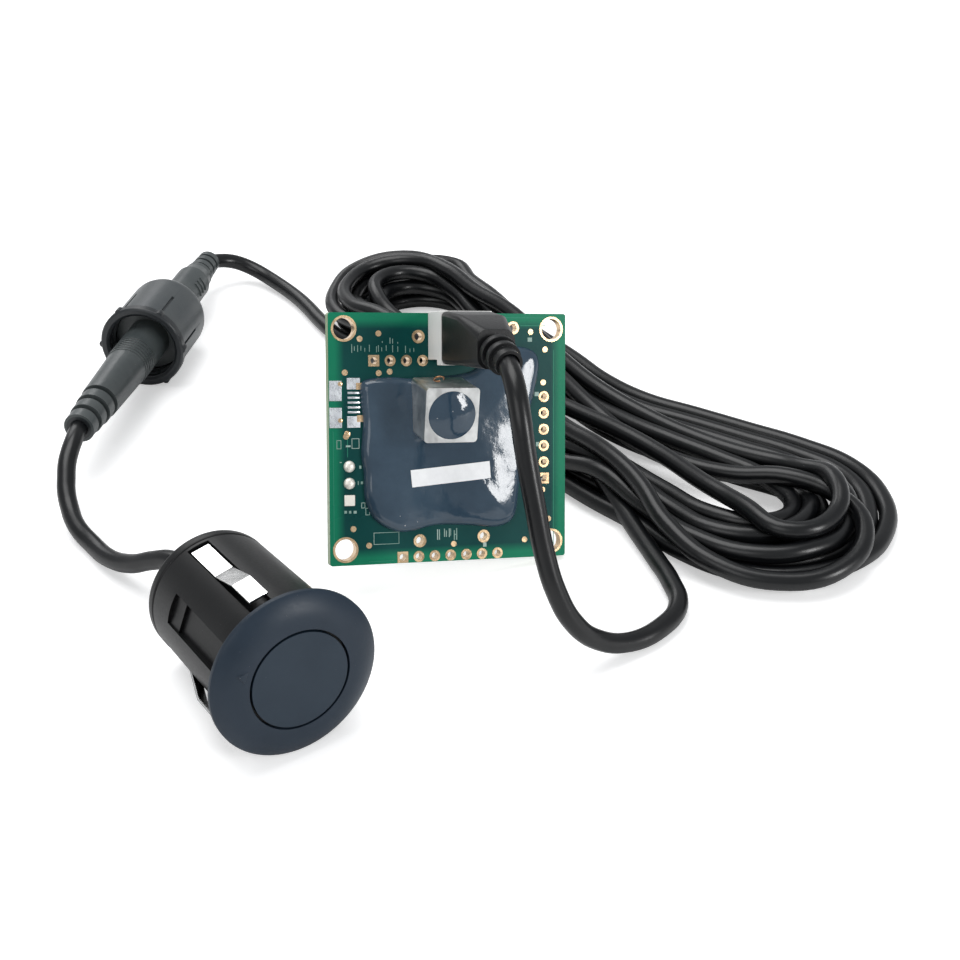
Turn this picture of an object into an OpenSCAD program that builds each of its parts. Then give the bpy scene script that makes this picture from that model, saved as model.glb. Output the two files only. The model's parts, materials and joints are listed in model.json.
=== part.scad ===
/* [Transducer] */
// Diameter of the flange that shows on the panel
flange_d = 24; // [22.5:0.5:27]
// Height of the domed face above the panel
flange_t = 2.6; // [1.8:0.1:2.8]
// Thickness of the flange at its edge
flange_edge_t = 0.9; // [0.6:0.1:1.2]
// Diameter of the barrel just behind the flange
barrel_d = 19.7; // [19.5:0.1:21]
// How much narrower the barrel is at its rear end
barrel_taper = 0.5; // [0.3:0.1:0.9]
// Length of the barrel with its rear cap
barrel_len = 25; // [24:0.5:30]
// Length of the rear cap
rear_cap_len = 2; // [1.5:0.1:2.4]
// Material between the barrel's skin and the chamber of the membrane cup
chamber_wall = 1.75; // [1.65:0.05:1.85]
// Bore of the barrel behind that chamber
core_bore_d = 11; // [10:0.5:12]
// Plastic between the barrel's skin and the face opening round the membrane
face_inset = 2.6; // [2.5:0.05:2.7]
// Width of the groove round the membrane
groove_w = 0.35; // [0.25:0.05:0.45]
// Depth of the groove round the membrane
groove_depth = 1; // [0.6:0.1:1.4]
// Depth of the membrane cup
cup_depth = 8; // [6:0.5:9]
// Side wall of the membrane cup
cup_wall = 0.9; // [0.6:0.1:1.2]
// Thickness of the membrane
membrane_t = 0.6; // [0.4:0.1:1]
// Wall of the silicone isolation ring
ring_wall = 0.7; // [0.65:0.05:0.8]
// Lip of the isolation ring behind the cup
ring_lip_t = 0.8; // [0.5:0.1:1.2]
// Diameter of the piezo disc
piezo_d = 9; // [6:0.5:11]
// Thickness of the piezo disc
piezo_t = 0.4; // [0.2:0.1:0.6]
// Thickness of the damping pad behind the disc
damping_t = 2.2; // [1:0.1:3]
// Length of the sealing compound in the barrel
compound_len = 10; // [6:0.5:12]
// Diameter of the lead gland where it passes the rear cap
gland_d = 5.2; // [4.6:0.1:6]
// Length of the lead gland outside the rear cap
gland_len = 3.5; // [3:0.1:5]
// Diameter of each piezo wire
wire_d = 0.8; // [0.5:0.1:1]

/* [Spring clips] */
// Width of a clip's strip
clip_w = 2.8; // [2:0.1:4]
// Thickness of the sheet of a clip
clip_t = 0.35; // [0.25:0.05:0.45]
// Distance from a clip's root to the rear cap
clip_inset = 1.7; // [1.5:0.1:3]
// Length of the ramp of a clip
clip_ramp = 6.6; // [5:0.1:7]
// Length of the raised flat of a clip
clip_raised = 5.1; // [4:0.1:6]
// How far a clip's ramp rises
clip_rise = 2.1; // [1.6:0.1:2.6]
// Distance from the flange to the raised end of a clip
clip_gap = 2.1; // [1.6:0.1:2.4]
// Depth of the channel under a clip
channel_depth = 1.25; // [1.2:0.05:1.3]
// Width of the keying pocket in the barrel
pocket_w = 4.4; // [4:0.2:7]
// Depth of the keying pocket
pocket_depth = 1.2; // [0.8:0.1:1.3]
// Length of the keying pocket
pocket_len = 16.5; // [12:0.5:20]

/* [In-line connector] */
// Outside diameter of the coupling nut
nut_d = 14.8; // [14.2:0.1:15]
// Diameter of the ring at the nut's mouth
nut_ring_d = 15.8; // [15.4:0.1:16.6]
// Length of the ring at the nut's mouth
nut_ring_len = 1.7; // [1.2:0.1:2.4]
// Length of the coupling nut
nut_len = 17.5; // [16.5:0.5:19]
// Bore of the nut over the threaded collar
thread_d = 12.4; // [12.2:0.1:12.8]
// Axial grip grooves and lugs round the nut
nut_grips = 6; // [4:1:8]
// Width of a grip groove
groove_cut_w = 0.5; // [0.3:0.1:0.8]
// Length of the nut's rear wall, from its end to the slip washer
nut_back_len = 5.4; // [4.6:0.1:6]
// Diameter of the nut's rear end
nut_neck_d = 9.6; // [9:0.2:10.6]
// Running clearance between the nut and the halves
nut_fit = 0.1; // [0.05:0.01:0.15]
// Diameter of the rear half's body
rear_body_d = 7; // [6.8:0.1:7.4]
// Diameter of the front half's body
front_body_d = 7.8; // [7.4:0.1:8.4]
// Length of the front half in front of the nut's mouth
front_len = 31.4; // [30:0.2:34]
// Length of the rear half behind the nut's mouth
rear_len = 42; // [40:0.5:45]
// Length of the threaded collar of the front half
collar_len = 5; // [4:0.2:6]
// Diameter of the nose of the rear half
nose_d = 6; // [5.4:0.1:6.2]
// Section of the seal ring
seal_d = 0.9; // [0.7:0.1:1]
// Thickness of the slip washer behind the rear half's flange
washer_t = 0.7; // [0.5:0.1:1]
// Thickness of the rear half's flange
rear_flange_t = 2; // [1.6:0.1:2.4]
// Diameter of a contact pin
pin_d = 1; // [0.8:0.1:1.2]
// Distance between the contact pins
pin_pitch = 2.4; // [2.2:0.1:2.8]
// Rings of each strain relief
relief_rings = 3; // [2:1:4]
// Pitch of the front half's strain relief rings
relief_pitch = 3.2; // [2.8:0.1:3.4]
// Pitch of the rear half's strain relief rings
rear_relief_pitch = 2.4; // [2.2:0.1:2.8]

/* [Board] */
// Side of the square board
board_side = 37.8; // [37.4:0.1:42]
// Thickness of the board
board_t = 1.6; // [1:0.1:2]
// Distance from a corner hole's centre to the board's edges
hole_inset = 2.39; // [2.3:0.01:2.8]
// Bore of the plated corner holes
hole_d = 3.2; // [2.8:0.1:3.4]
// Pitch of the pads
pad_pitch = 2.54; // [2.5:0.01:2.56]
// Bore of a plated pad
pad_bore_d = 1; // [0.8:0.1:1.1]
// Outside diameter of a plated pad
pad_d = 1.7; // [1.5:0.1:1.8]
// Thickness of the plating
plate_t = 0.06; // [0.04:0.01:0.1]
// Height of the potting resin
resin_h = 2; // [1.8:0.1:2.4]
// Radius of the resin's rounded rim
resin_rim = 1.4; // [1:0.1:1.8]
// Side of the transformer can
can_side = 8.2; // [7.8:0.1:8.6]
// Height of the transformer can above the board
can_h = 7.8; // [7:0.1:9]
// Sheet thickness of the can
can_t = 0.35; // [0.3:0.05:0.5]
// Diameter of the can's round opening
can_opening_d = 7.2; // [6.4:0.1:7.4]
// How far the can's resin fill bulges out of the opening
fill_bulge = 0.7; // [0.4:0.1:1.2]
// Side of the controller chip under the resin
chip_side = 7; // [5:0.5:7.5]
// Height of the controller chip
chip_h = 1; // [0.7:0.1:1.2]
// Width of the label
label_w = 12.6; // [10:0.2:15]
// Height of the label
label_h = 2.6; // [2:0.1:3]

/* [Header and plug] */
// Side of the header shell
header_side = 8; // [7.6:0.1:8.4]
// Height of the header shell
header_h = 6.4; // [5.6:0.1:7]
// Wall of the header shell
header_wall = 0.8; // [0.7:0.05:1]
// Floor of the header shell
header_floor = 1.4; // [1:0.1:1.8]
// Number of header pins
header_pins_n = 3; // [2:1:3]
// Pitch of the header pins
header_pitch = 2; // [1.9:0.05:2.1]
// Side of a header pin
header_pin_w = 0.6; // [0.5:0.05:0.64]
// Clearance between the plug's nose and the header
plug_fit = 0.1; // [0.05:0.01:0.15]
// Length of the plug's body beyond the header
plug_len = 13; // [11:0.5:15]
// Side of the plug's body at its cable end
plug_end_side = 5.6; // [5.2:0.1:6.4]
// Length of the plug's strain relief
plug_relief_len = 6.2; // [5.6:0.1:7]

/* [Cables] */
// Diameter of the sensor lead and of the extension cable
cable_d = 3; // [2.8:0.1:3.2]
// Height of the pile that the hank's turns make
hank_h = 8.5; // [8:0.5:11]

/* [Layout] */
// Turn of the transducer on the table
sensor_yaw = 34; // [30:1:38]
// Turn of the connector on the table
connector_yaw = -8.3; // [-12:1:-8]
// Tilt of the board's face from lying flat
board_pitch = 63; // [62:0.1:65]
// Tilt of the board's bottom edge
board_roll = 8.8; // [7:0.1:9]
// Turn of the board on the table
board_yaw = 17; // [15:0.1:18]

/* [Hidden] */

$fn = 48;
// How far a cutter runs past the face that it cuts
over = 1;

// Transducer, in its own frame: z runs forward through the face, y is up
flange_r = flange_d / 2;
flange_round = 0.3;
dome_power = 2.4;
barrel_land = 4;
barrel_r = barrel_d / 2;
barrel_rear_r = barrel_r - barrel_taper / 2;
face_r = barrel_r - face_inset;
cup_r = face_r - groove_w;
ring_r = cup_r + ring_wall;
body_len = barrel_len - rear_cap_len;
ring_len = cup_depth - flange_t;
chamber_len = ring_len + ring_lip_t;
chamber_r = barrel_r - chamber_wall;
core_r = core_bore_d / 2;
cap_round = 0.8;
seam = 0.25;
piezo_z = flange_t - membrane_t - piezo_t;
wire_pitch = 2 * wire_d;
gland_r = gland_d / 2;
gland_flange = 1;
gland_flange_t = 0.8;
gland_bore_len = 3;
gland_straight = 0.9;
gland_lip = 0.6;
spigot_len = 1.5;
sensor_pos = [-7.6, -21.4];
sensor_tilt = atan((flange_r - barrel_rear_r) / (barrel_len - cap_round + flange_round));
sensor_h = flange_r * cos(sensor_tilt) - flange_round * sin(sensor_tilt);
key_angle = 154;
clip_spread = 53;
clip_angles = [key_angle - clip_spread, key_angle + clip_spread, key_angle + 180];
clip_play = 0.25;
clip_seat = 0.5;
clip_r = barrel_r - clip_seat - clip_t;
clip_end_z = -clip_gap;
clip_up_z = clip_end_z - clip_raised;
clip_bend_z = clip_up_z - clip_ramp;
clip_root_z = clip_inset - body_len;
clip_tab = 1.7;
slot_len = 1.5;
slot_depth = 2.6;
channel_end = 0.9;
pocket_front = 1.2;
pocket_step_len = 3;
pocket_step_depth = 0.5;
mark_offset = 1.25;
mark_r = face_r + mark_offset;
mark_size = 0.8;
mark_h = 0.12;
mark_root = 0.5;

// Connector, in its own frame: z runs out of the nut's mouth, y is up
nut_r = nut_d / 2;
nut_ring_r = nut_ring_d / 2;
thread_r = thread_d / 2;
nut_neck_r = nut_neck_d / 2;
rear_body_r = rear_body_d / 2;
front_body_r = front_body_d / 2;
groove_cut_depth = 0.45;
groove_cut_len = 7.8;
lug_d = 1.3;
mouth_chamfer = 0.6;
nut_shoulder = 3;
nut_floor_z = -(nut_len - nut_back_len);
axial_play = 0.05;
flange_rear_z = nut_floor_z + washer_t + 2 * axial_play;
flange_front_z = flange_rear_z + rear_flange_t;
collar_front_z = flange_front_z + collar_len;
nose_r = nose_d / 2;
nose_len = 5.7;
nose_fit = 0.1;
socket_len = 6.3;
pin_depth = 3;
pin_end_play = 1;
sleeve_wall = 0.4;
sleeve_fit = 0.02;
nut_travel = 4.5;
rear_flange_fit = 0.3;
relief_root_r = 2.1;
relief_gap = 0.9;
front_relief_r = [3.1, 2.4];
front_shoulder_r = 3.3;
rear_relief_r = [2.5, 2.2];
rear_shoulder_r = 2.8;
rear_shoulder_len = 3;
rear_neck_len = 1;
cable_bore_len = 4;
rib_first = 4;
rib_pitch = 0.9;
rib_count = 5;
rib_depth = 0.16;
connector_pos = [-46, 75.6];
connector_tilt = atan((nut_ring_r - nut_r) / (nut_len - nut_shoulder - nut_ring_len));
connector_h = nut_ring_r * cos(connector_tilt) + nut_ring_len * sin(connector_tilt);

// Board, in its own frame: x right, y up the face, z out of the front face
board_corner = 0.4;
corner_pad_d = 3.9;
hole_plating = 0.05;
eyelet_d = 2;
eyelet_bore_d = 1.2;
via_d = 0.9;
bottom_row = [for (i = [0:6]) [(i - 3) * pad_pitch, -18]];
right_row = [for (i = [0:5]) [15.3, 6.1 - i * pad_pitch]];
top_row = [for (i = [0:3]) [-11.95 + i * pad_pitch, 11.75]];
left_row = [for (i = [0:2]) [-15.84, -4 - i * pad_pitch]];
pads = concat(bottom_row, right_row, top_row);
square_pads = [bottom_row[0], right_row[5], top_row[0]];
eyelets = [[-5, 15.35], [10.2, 16.7], [-4.9, -15.6], [5.35, -15.3]];
vias = [
    [-11.2, 15.8], [-14.1, 15], [-16.4, 10], [-11.2, 9.9], [-9.5, 10.1], [13.1, 16.1], [15.5, 13.4],
    [15.2, 8.3], [15.1, -8.4], [16.1, -13], [12.1, -16.1], [-15.3, -13.4], [-12.9, -16],
    [-16.3, 0.5], [0.5, -16.3]
];
hole_span = board_side - 2 * hole_inset;
corners = [for (i = [-1, 1], j = [-1, 1]) [i, j] * hole_span / 2];
board_lean_rise = sin(board_roll) + cos(board_roll) * sin(board_pitch);
board_h = board_side / 2 * board_lean_rise + board_t * cos(board_roll) * cos(board_pitch);
board_pos = [12.45, 23.3];
resin_outline = [
    [-13.7, 8.7], [-9.5, 9.3], [1.5, 9.7], [4.4, 10.7], [5.6, 13.2], [8.5, 14], [12.9, 13.5],
    [14.4, 11.5], [13.7, 7.1], [12.3, 1.1], [11.1, -7.9], [10.3, -12.4], [7.5, -13.9], [-9.1, -13.9],
    [-12.1, -12], [-13.5, -8.8], [-14, -2], [-14, 6.1]
];
resin_steps = 4;
resin_steep = 80;
resin_foot = 0.25;
can_pos = [-2.4, 5.3];
can_corner = 0.6;
can_lean = 11;
can_base_h = 1.2;
core_r_small = 1.6;
core_r_large = 3.3;
core_rim = 0.8;
fill_depth = 1.4;
winding_gap = 0.05;
winding_inset = 0.3;
chip_pos = [5.2, -6.5];
chip_parts_size = [2, 1.25, 0.6];
chip_parts_pos = [[-9, 5], [-9, 2], [-9, -6], [-5, -11], [0, -11], [8, 3]];
label_t = 0.1;
label_pos = [-0.5, -5.4];
label_turn = 5;
footprint_wide = [[-18.8, 5.8], [-18.8, 1.8]];
footprint_wide_size = [1.9, 3];
footprint_inner = [[-16.1, 7.5], [-16.1, 1.8]];
footprint_inner_size = [2, 1.7];
footprint_lines = 5;
footprint_line_pitch = 0.72;
footprint_line_size = [1.9, 0.3];
footprint_line_pos = [-16, 3.95];
fill_d = 2;
fill_h = 0.5;
solder_shape = [[0, 0], [1, 0], [0.8, 0.5], [0.45, 1], [0, 1]];

// Header and plug, on the board
header_pos = [0.55, 15.05];
header_foot_cut = 4.4;
header_foot_len = 0.8;
header_tail = 2.2;
joint_d = 1.6;
joint_h = 0.9;
header_pin_top = 1.4;
nose_inner = header_side - 2 * header_wall - 2 * plug_fit;
plug_floor_gap = 0.4;
plug_corner = 0.8;
plug_drop = 1.7;
plug_slice = 1;
plug_waist_z = 0.45 * plug_len;
plug_waist_drop = 0.4;
plug_waist_size = [7.5, 7.2];
plug_relief_droop = 20;
plug_relief_d = 5.2;
plug_relief_end_d = 4.4;
plug_relief_ring = 1.2;
plug_relief_gap = 0.9;
plug_relief_groove = 0.5;
contact_len = 4;
contact_w = 1.3;
contact_fit = 0.02;

// Cables, on the table, with their routes as laid by hand
cable_r = cable_d / 2;
cable_sides = 8;
cable_steps = 2;
lead_route = [
    [-21.9, -0.2, 9.4], [-23.5, 2.1, 9.1], [-25.7, 5.1, 8.8], [-28.8, 8.2, 8.2], [-32.2, 10.6, 6.4],
    [-36.2, 13.2, 3.9], [-40.4, 16.8, 2.2], [-44.5, 21.8, 1.6], [-47.7, 25.7, 2.3], [-49.5, 29.4, 3.4],
    [-50.4, 32, 4.8], [-50.7, 34, 6], [-50.9, 36.2, 7.3], [-50.8, 38.4, 8.3], [-50.6, 40.8, 9],
    [-50.5, 44.9, 9.2], [-50, 47.9, 9.1]
];
run_route = [
    [-40.5, 113.2, 6.5], [-40.1, 115.7, 6.4], [-39.3, 118.2, 6.3], [-38.1, 119, 5.9],
    [-36.6, 119.6, 5.4], [-34.8, 120.3, 4.7], [-32.8, 120.3, 3.9], [-30.6, 119.7, 3.1],
    [-28.4, 118.4, 2.4], [-25.8, 115.8, 1.9], [-22.7, 112, 1.6], [-20, 108, 1.6],
    [-17.7, 103.9, 1.6], [-15.2, 99, 1.6], [-12, 93.4, 1.8], [-7.2, 88.4, 2.6], [-1.5, 84.5, 3.4]
];
loop_route = [
    [20.1, 10.9, 40.8], [20.9, 8.4, 41.1], [21.7, 5.3, 40.4], [22.3, 2.4, 37.6], [23.1, -0.4, 32.6],
    [24.5, -3.4, 25.5], [25.8, -5.6, 19.4], [27.5, -7.2, 14], [30, -7.6, 9], [33.7, -6, 4.6],
    [38.2, -2.3, 2.2], [43.1, 1.5, 1.6], [46.4, 6.3, 1.6], [46.1, 11.6, 1.6], [44, 17.4, 1.6],
    [41.4, 24, 2.2], [38.9, 31, 3.4], [36.6, 37.5, 4.4]
];
hank_bends = [[4.5, 99.5], [33, 60], [63.5, 33]];
hank_radii = [17, 16, 21.7];
hank_lift = 0.1;

// Where the origin lies in the layout
origin_xy = [0.26, 5.24];

function unit(v) = v / norm(v);

// A point of the sheet's far side, square off the line p at its point i
function mitre(p, i, d) =
    let (a = i == 0 ? p[1] - p[0] : p[i] - p[i - 1])
    let (b = i == len(p) - 1 ? a : p[i + 1] - p[i])
    let (m = (unit([-a.y, a.x]) + unit([-b.y, b.x])) / 2)
    p[i] + m * d / (m * m);

// Outline of a folded sheet of thickness t along the line p
function folded(p, t) = concat(p, [for (i = [len(p) - 1:-1:0]) mitre(p, i, t)]);

// Catmull-Rom point between b and c
function spline(a, b, c, d, u) =
    ((2 * b) + (c - a) * u + (2 * a - 5 * b + 4 * c - d) * u * u
        + (3 * b - a - 3 * c + d) * u * u * u) / 2;

function route_point(p, i) = p[max(0, min(len(p) - 1, i))];

// The route p with points added between its own
function smooth(p) = concat(
    [for (i = [0:len(p) - 2], k = [0:cable_steps - 1])
        spline(route_point(p, i - 1), p[i], p[i + 1], route_point(p, i + 2), k / cable_steps)],
    [p[len(p) - 1]]);

function heading(q, i) = unit(route_point(q, i + 1) - route_point(q, i - 1));

// The tube's side direction at ring i, carried along from ring to ring
function side_at(q, i) = i == 0
    ? unit(cross(heading(q, 0), [0, 0, 1]))
    : let (s = side_at(q, i - 1), t = heading(q, i)) unit(s - t * (t * s));

function ring_at(q, i, r) =
    let (s = side_at(q, i), t = heading(q, i), n = cross(t, s))
    [for (k = [0:cable_sides - 1])
        let (a = (k + 0.5) * 360 / cable_sides) q[i] + r * (cos(a) * s + sin(a) * n)];

// A plain cable swept along a route
module cable(route) {
    q = smooth(route);
    n = cable_sides;
    last = len(q) - 1;
    points = [for (i = [0:last], p = ring_at(q, i, cable_r)) p];
    sides = [for (i = [0:last - 1], k = [0:n - 1])
        [i * n + k, (i + 1) * n + k, (i + 1) * n + (k + 1) % n, i * n + (k + 1) % n]];
    caps = [[for (k = [0:n - 1]) k], [for (k = [n - 1:-1:0]) last * n + k]];
    polyhedron(points, concat(sides, caps));
}

module from_origin() translate([-origin_xy.x, -origin_xy.y, 0]) children();

module at_sensor() from_origin()
    translate([sensor_pos.x, sensor_pos.y, sensor_h])
        rotate([90 - sensor_tilt, 0, sensor_yaw]) children();

module at_connector() from_origin()
    translate([connector_pos.x, connector_pos.y, connector_h])
        rotate([90 - connector_tilt, 0, connector_yaw]) children();

module at_board() from_origin()
    translate([board_pos.x, board_pos.y, board_h])
        rotate([board_pitch, board_roll, board_yaw]) children();

// A rectangle with round corners
module round_rect(size, r) {
    square([size.x - 2 * r, size.y], center = true);
    square([size.x, size.y - 2 * r], center = true);
    for (i = [-1, 1], j = [-1, 1])
        translate([i * (size.x / 2 - r), j * (size.y / 2 - r)]) circle(r, $fn = 24);
}

module at_points(list) for (p = list) translate([p.x, p.y, 0]) children();

// A cylinder between two heights
module rod(r, z0, z1) translate([0, 0, z0]) cylinder(r = r, h = z1 - z0);

module piezo_wire_pair(r, z0, z1)
    for (i = [-1, 1]) translate([i * wire_pitch / 2, 0, 0]) rod(r, z0, z1);

// Height of the flange's dome, with u from 0 at the membrane to 1 at the edge
function dome(u) = flange_edge_t + (flange_t - flange_edge_t) * (1 - pow(u, dome_power));

module flange_ring() color([0.2, 0.25, 0.31]) at_sensor() {
    steps = 10;
    rotate_extrude($fn = 96) polygon(concat(
        [for (i = [0:steps]) [face_r + (flange_r - face_r) * i / steps, dome(i / steps)]],
        [[flange_r, flange_round], [flange_r - flange_round, 0], [chamber_r, 0],
            [chamber_r, -chamber_len], [ring_r, -chamber_len],
            [ring_r, flange_t - groove_depth], [face_r, flange_t - groove_depth]]));
    mark_u = (mark_r - face_r) / (flange_r - face_r);
    rotate(key_angle) translate([mark_r, 0, dome(mark_u) - mark_root])
        linear_extrude(mark_root + mark_h)
            polygon([[mark_size, 0], [-mark_size / 2, mark_size], [-mark_size / 2, -mark_size]]);
}

// Room for one clip: its channel and the slot that holds its tab
module clip_room() {
    w = clip_w + 2 * clip_play;
    length = -channel_end - clip_root_z;
    translate([barrel_r - channel_depth, -w / 2, clip_root_z])
        cube([channel_depth * 2, w, length]);
    translate([barrel_r - slot_depth, -w / 2, clip_root_z - slot_len + clip_t + clip_play])
        cube([slot_depth * 2, w, slot_len]);
}

module keying_pocket() {
    rear = pocket_front + pocket_len;
    translate([barrel_r - pocket_depth, -pocket_w / 2, pocket_step_len - rear])
        cube([pocket_depth * 2, pocket_w, pocket_len - pocket_step_len]);
    translate([barrel_r - pocket_step_depth - seam, -pocket_w / 2, -rear])
        cube([pocket_depth * 2, pocket_w, pocket_step_len + seam]);
}

module barrel_housing() color([0.12, 0.13, 0.14]) at_sensor() difference() {
    rotate_extrude($fn = 96) polygon([
        [chamber_r, 0], [barrel_r, 0], [barrel_r, -barrel_land], [barrel_rear_r, seam - body_len],
        [barrel_rear_r - seam, -body_len], [core_r, -body_len], [core_r, -chamber_len],
        [chamber_r, -chamber_len]]);
    for (a = clip_angles) rotate(a) clip_room();
    rotate(key_angle) keying_pocket();
}

module membrane_cup() color([0.23, 0.27, 0.33]) at_sensor()
    rotate_extrude($fn = 96) polygon([
        [0, flange_t], [cup_r, flange_t], [cup_r, -ring_len], [cup_r - cup_wall, -ring_len],
        [cup_r - cup_wall, flange_t - membrane_t], [0, flange_t - membrane_t]]);

module isolation_ring() color([0.07, 0.08, 0.09]) at_sensor() {
    lip_r = cup_r - cup_wall - ring_wall;
    rotate_extrude($fn = 96) polygon([
        [cup_r, flange_t - groove_depth], [ring_r, flange_t - groove_depth],
        [ring_r, -chamber_len], [lip_r, -chamber_len], [lip_r, -ring_len], [cup_r, -ring_len]]);
}

module piezo_disc() color([0.75, 0.7, 0.6]) at_sensor()
    rod(piezo_d / 2, piezo_z, piezo_z + piezo_t);

module damping_pad() color([0.5, 0.45, 0.35]) at_sensor() difference() {
    rod(cup_r - cup_wall, piezo_z - damping_t, piezo_z);
    piezo_wire_pair(wire_d / 2, piezo_z - damping_t - over, piezo_z + over);
}

module piezo_wires() color([0.7, 0.1, 0.1]) at_sensor()
    piezo_wire_pair(wire_d / 2, gland_bore_len - barrel_len - gland_len, piezo_z);

module sealing_compound() color([0.3, 0.3, 0.28]) at_sensor() difference() {
    rod(core_r, -chamber_len - compound_len, -chamber_len);
    piezo_wire_pair(wire_d / 2, -chamber_len - compound_len - over, over - chamber_len);
}

module rear_cap() color([0.11, 0.12, 0.13]) at_sensor()
    rotate_extrude($fn = 96) polygon(concat(
        [[core_r, spigot_len - body_len], [core_r, -body_len],
            [barrel_rear_r - seam, -body_len], [barrel_rear_r, -body_len - seam]],
        [for (a = [0:22.5:90]) [barrel_rear_r - cap_round * (1 - cos(a)),
            cap_round * (1 - sin(a)) - barrel_len]],
        [[gland_r, -barrel_len], [gland_r, -body_len], [gland_r + gland_flange, -body_len],
            [gland_r + gland_flange, spigot_len - body_len]]));

module lead_gland() color([0.09, 0.09, 0.1]) at_sensor() difference() {
    end_z = -barrel_len - gland_len;
    rotate_extrude() polygon([
        [0, gland_flange_t - body_len], [gland_r + gland_flange, gland_flange_t - body_len],
        [gland_r + gland_flange, -body_len], [gland_r, -body_len], [gland_r, -barrel_len],
        [gland_r, -barrel_len - gland_straight], [gland_r - seam, -barrel_len - gland_straight - seam],
        [cable_r + gland_lip, end_z], [0, end_z]]);
    rod(cable_r, end_z - over, end_z + gland_bore_len);
    piezo_wire_pair(wire_d / 2, end_z, over - body_len);
}

// One folded clip on the +x side of the barrel
module clip_strip() {
    line = [
        [clip_r - clip_tab, clip_root_z], [clip_r, clip_root_z], [clip_r, clip_bend_z],
        [clip_r + clip_rise, clip_up_z], [clip_r + clip_rise, clip_end_z]
    ];
    rotate([90, 0, 0]) linear_extrude(clip_w, center = true) polygon(folded(line, -clip_t));
}

module spring_clip(i) color([0.85, 0.85, 0.83]) at_sensor()
    rotate(clip_angles[i]) clip_strip();

// Ringed strain relief that starts at height 0, runs up z and narrows from radii.x to radii.y
module strain_relief(pitch, radii) rotate_extrude() {
    square([relief_root_r, relief_rings * pitch]);
    for (i = [0:relief_rings - 1])
        translate([0, i * pitch + relief_gap])
            square([radii.x + (radii.y - radii.x) * i / relief_rings, pitch - relief_gap]);
}

module connector_front() color([0.2, 0.21, 0.22]) at_connector() {
    ribs_end = rib_first + rib_count * rib_pitch;
    taper_z = front_len - relief_rings * relief_pitch;
    difference() {
        union() {
            rod(thread_r - nut_fit, flange_front_z, collar_front_z);
            rod(front_body_r, flange_front_z, ribs_end);
            translate([0, 0, ribs_end]) cylinder(
                r1 = front_body_r - rib_depth, r2 = front_shoulder_r, h = taper_z - ribs_end);
            translate([0, 0, taper_z]) strain_relief(relief_pitch, front_relief_r);
        }
        for (i = [0:rib_count - 1]) translate([0, 0, rib_first + i * rib_pitch]) difference() {
            cylinder(r = front_body_r + over, h = rib_pitch / 2);
            rod(front_body_r - rib_depth, -over, rib_pitch);
        }
        rod(nose_r + nose_fit, flange_front_z - over, flange_front_z + socket_len);
        rod(nose_r + seal_d, flange_front_z - over, flange_front_z + seal_d);
        for (i = [-1, 1]) translate([i * pin_pitch / 2, 0, 0])
            rod(pin_d / 2, flange_front_z, flange_front_z + socket_len + pin_depth);
        rod(cable_r, front_len - cable_bore_len, front_len + over);
    }
}

module contact_pins() color([0.8, 0.7, 0.45]) at_connector()
    for (i = [-1, 1]) translate([i * pin_pitch / 2, 0, 0])
        rod(pin_d / 2, flange_front_z + pin_end_play, flange_front_z + socket_len + pin_depth);

module seal_ring() color([0.5, 0.15, 0.1]) at_connector()
    translate([0, 0, flange_front_z + seal_d / 2])
        rotate_extrude() translate([nose_r + seal_d / 2, 0]) circle(seal_d / 2, $fn = 24);

module connector_rear() color([0.2, 0.21, 0.22]) at_connector() {
    relief_z = relief_rings * rear_relief_pitch - rear_len;
    neck_z = relief_z + rear_neck_len;
    straight_z = neck_z + rear_shoulder_len;
    difference() {
        union() {
            rod(thread_r - rear_flange_fit, flange_rear_z, flange_front_z);
            rod(nose_r, flange_front_z, flange_front_z + nose_len);
            rod(rear_body_r, straight_z, flange_rear_z);
            translate([0, 0, neck_z])
                cylinder(r1 = rear_shoulder_r, r2 = rear_body_r, h = rear_shoulder_len);
            rod(rear_shoulder_r, relief_z, neck_z);
            translate([0, 0, relief_z]) rotate([180, 0, 0])
                strain_relief(rear_relief_pitch, rear_relief_r);
        }
        for (i = [-1, 1]) translate([i * pin_pitch / 2, 0, 0])
            rod(pin_d / 2 + sleeve_wall, flange_front_z, flange_front_z + nose_len + over);
        rod(cable_r, -rear_len - over, cable_bore_len - rear_len);
    }
}

module contact_sockets() color([0.8, 0.7, 0.45]) at_connector()
    for (i = [-1, 1]) translate([i * pin_pitch / 2, 0, 0]) difference() {
        rod(pin_d / 2 + sleeve_wall, flange_front_z, flange_front_z + nose_len);
        rod(pin_d / 2 + sleeve_fit, flange_front_z - over, flange_front_z + nose_len + over);
    }

module slip_washer() color([0.85, 0.85, 0.8]) at_connector() difference() {
    rod(thread_r - nut_fit, nut_floor_z + axial_play, nut_floor_z + axial_play + washer_t);
    rod(rear_body_r + nut_fit, nut_floor_z - over, nut_floor_z + washer_t + over);
}

// The nut's rear shoulder, a quarter of an ellipse from its side to its neck
function shoulder(a) = [
    nut_neck_r + (nut_r - nut_neck_r) * cos(a),
    nut_shoulder * (1 - sin(a)) - nut_len
];

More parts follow.
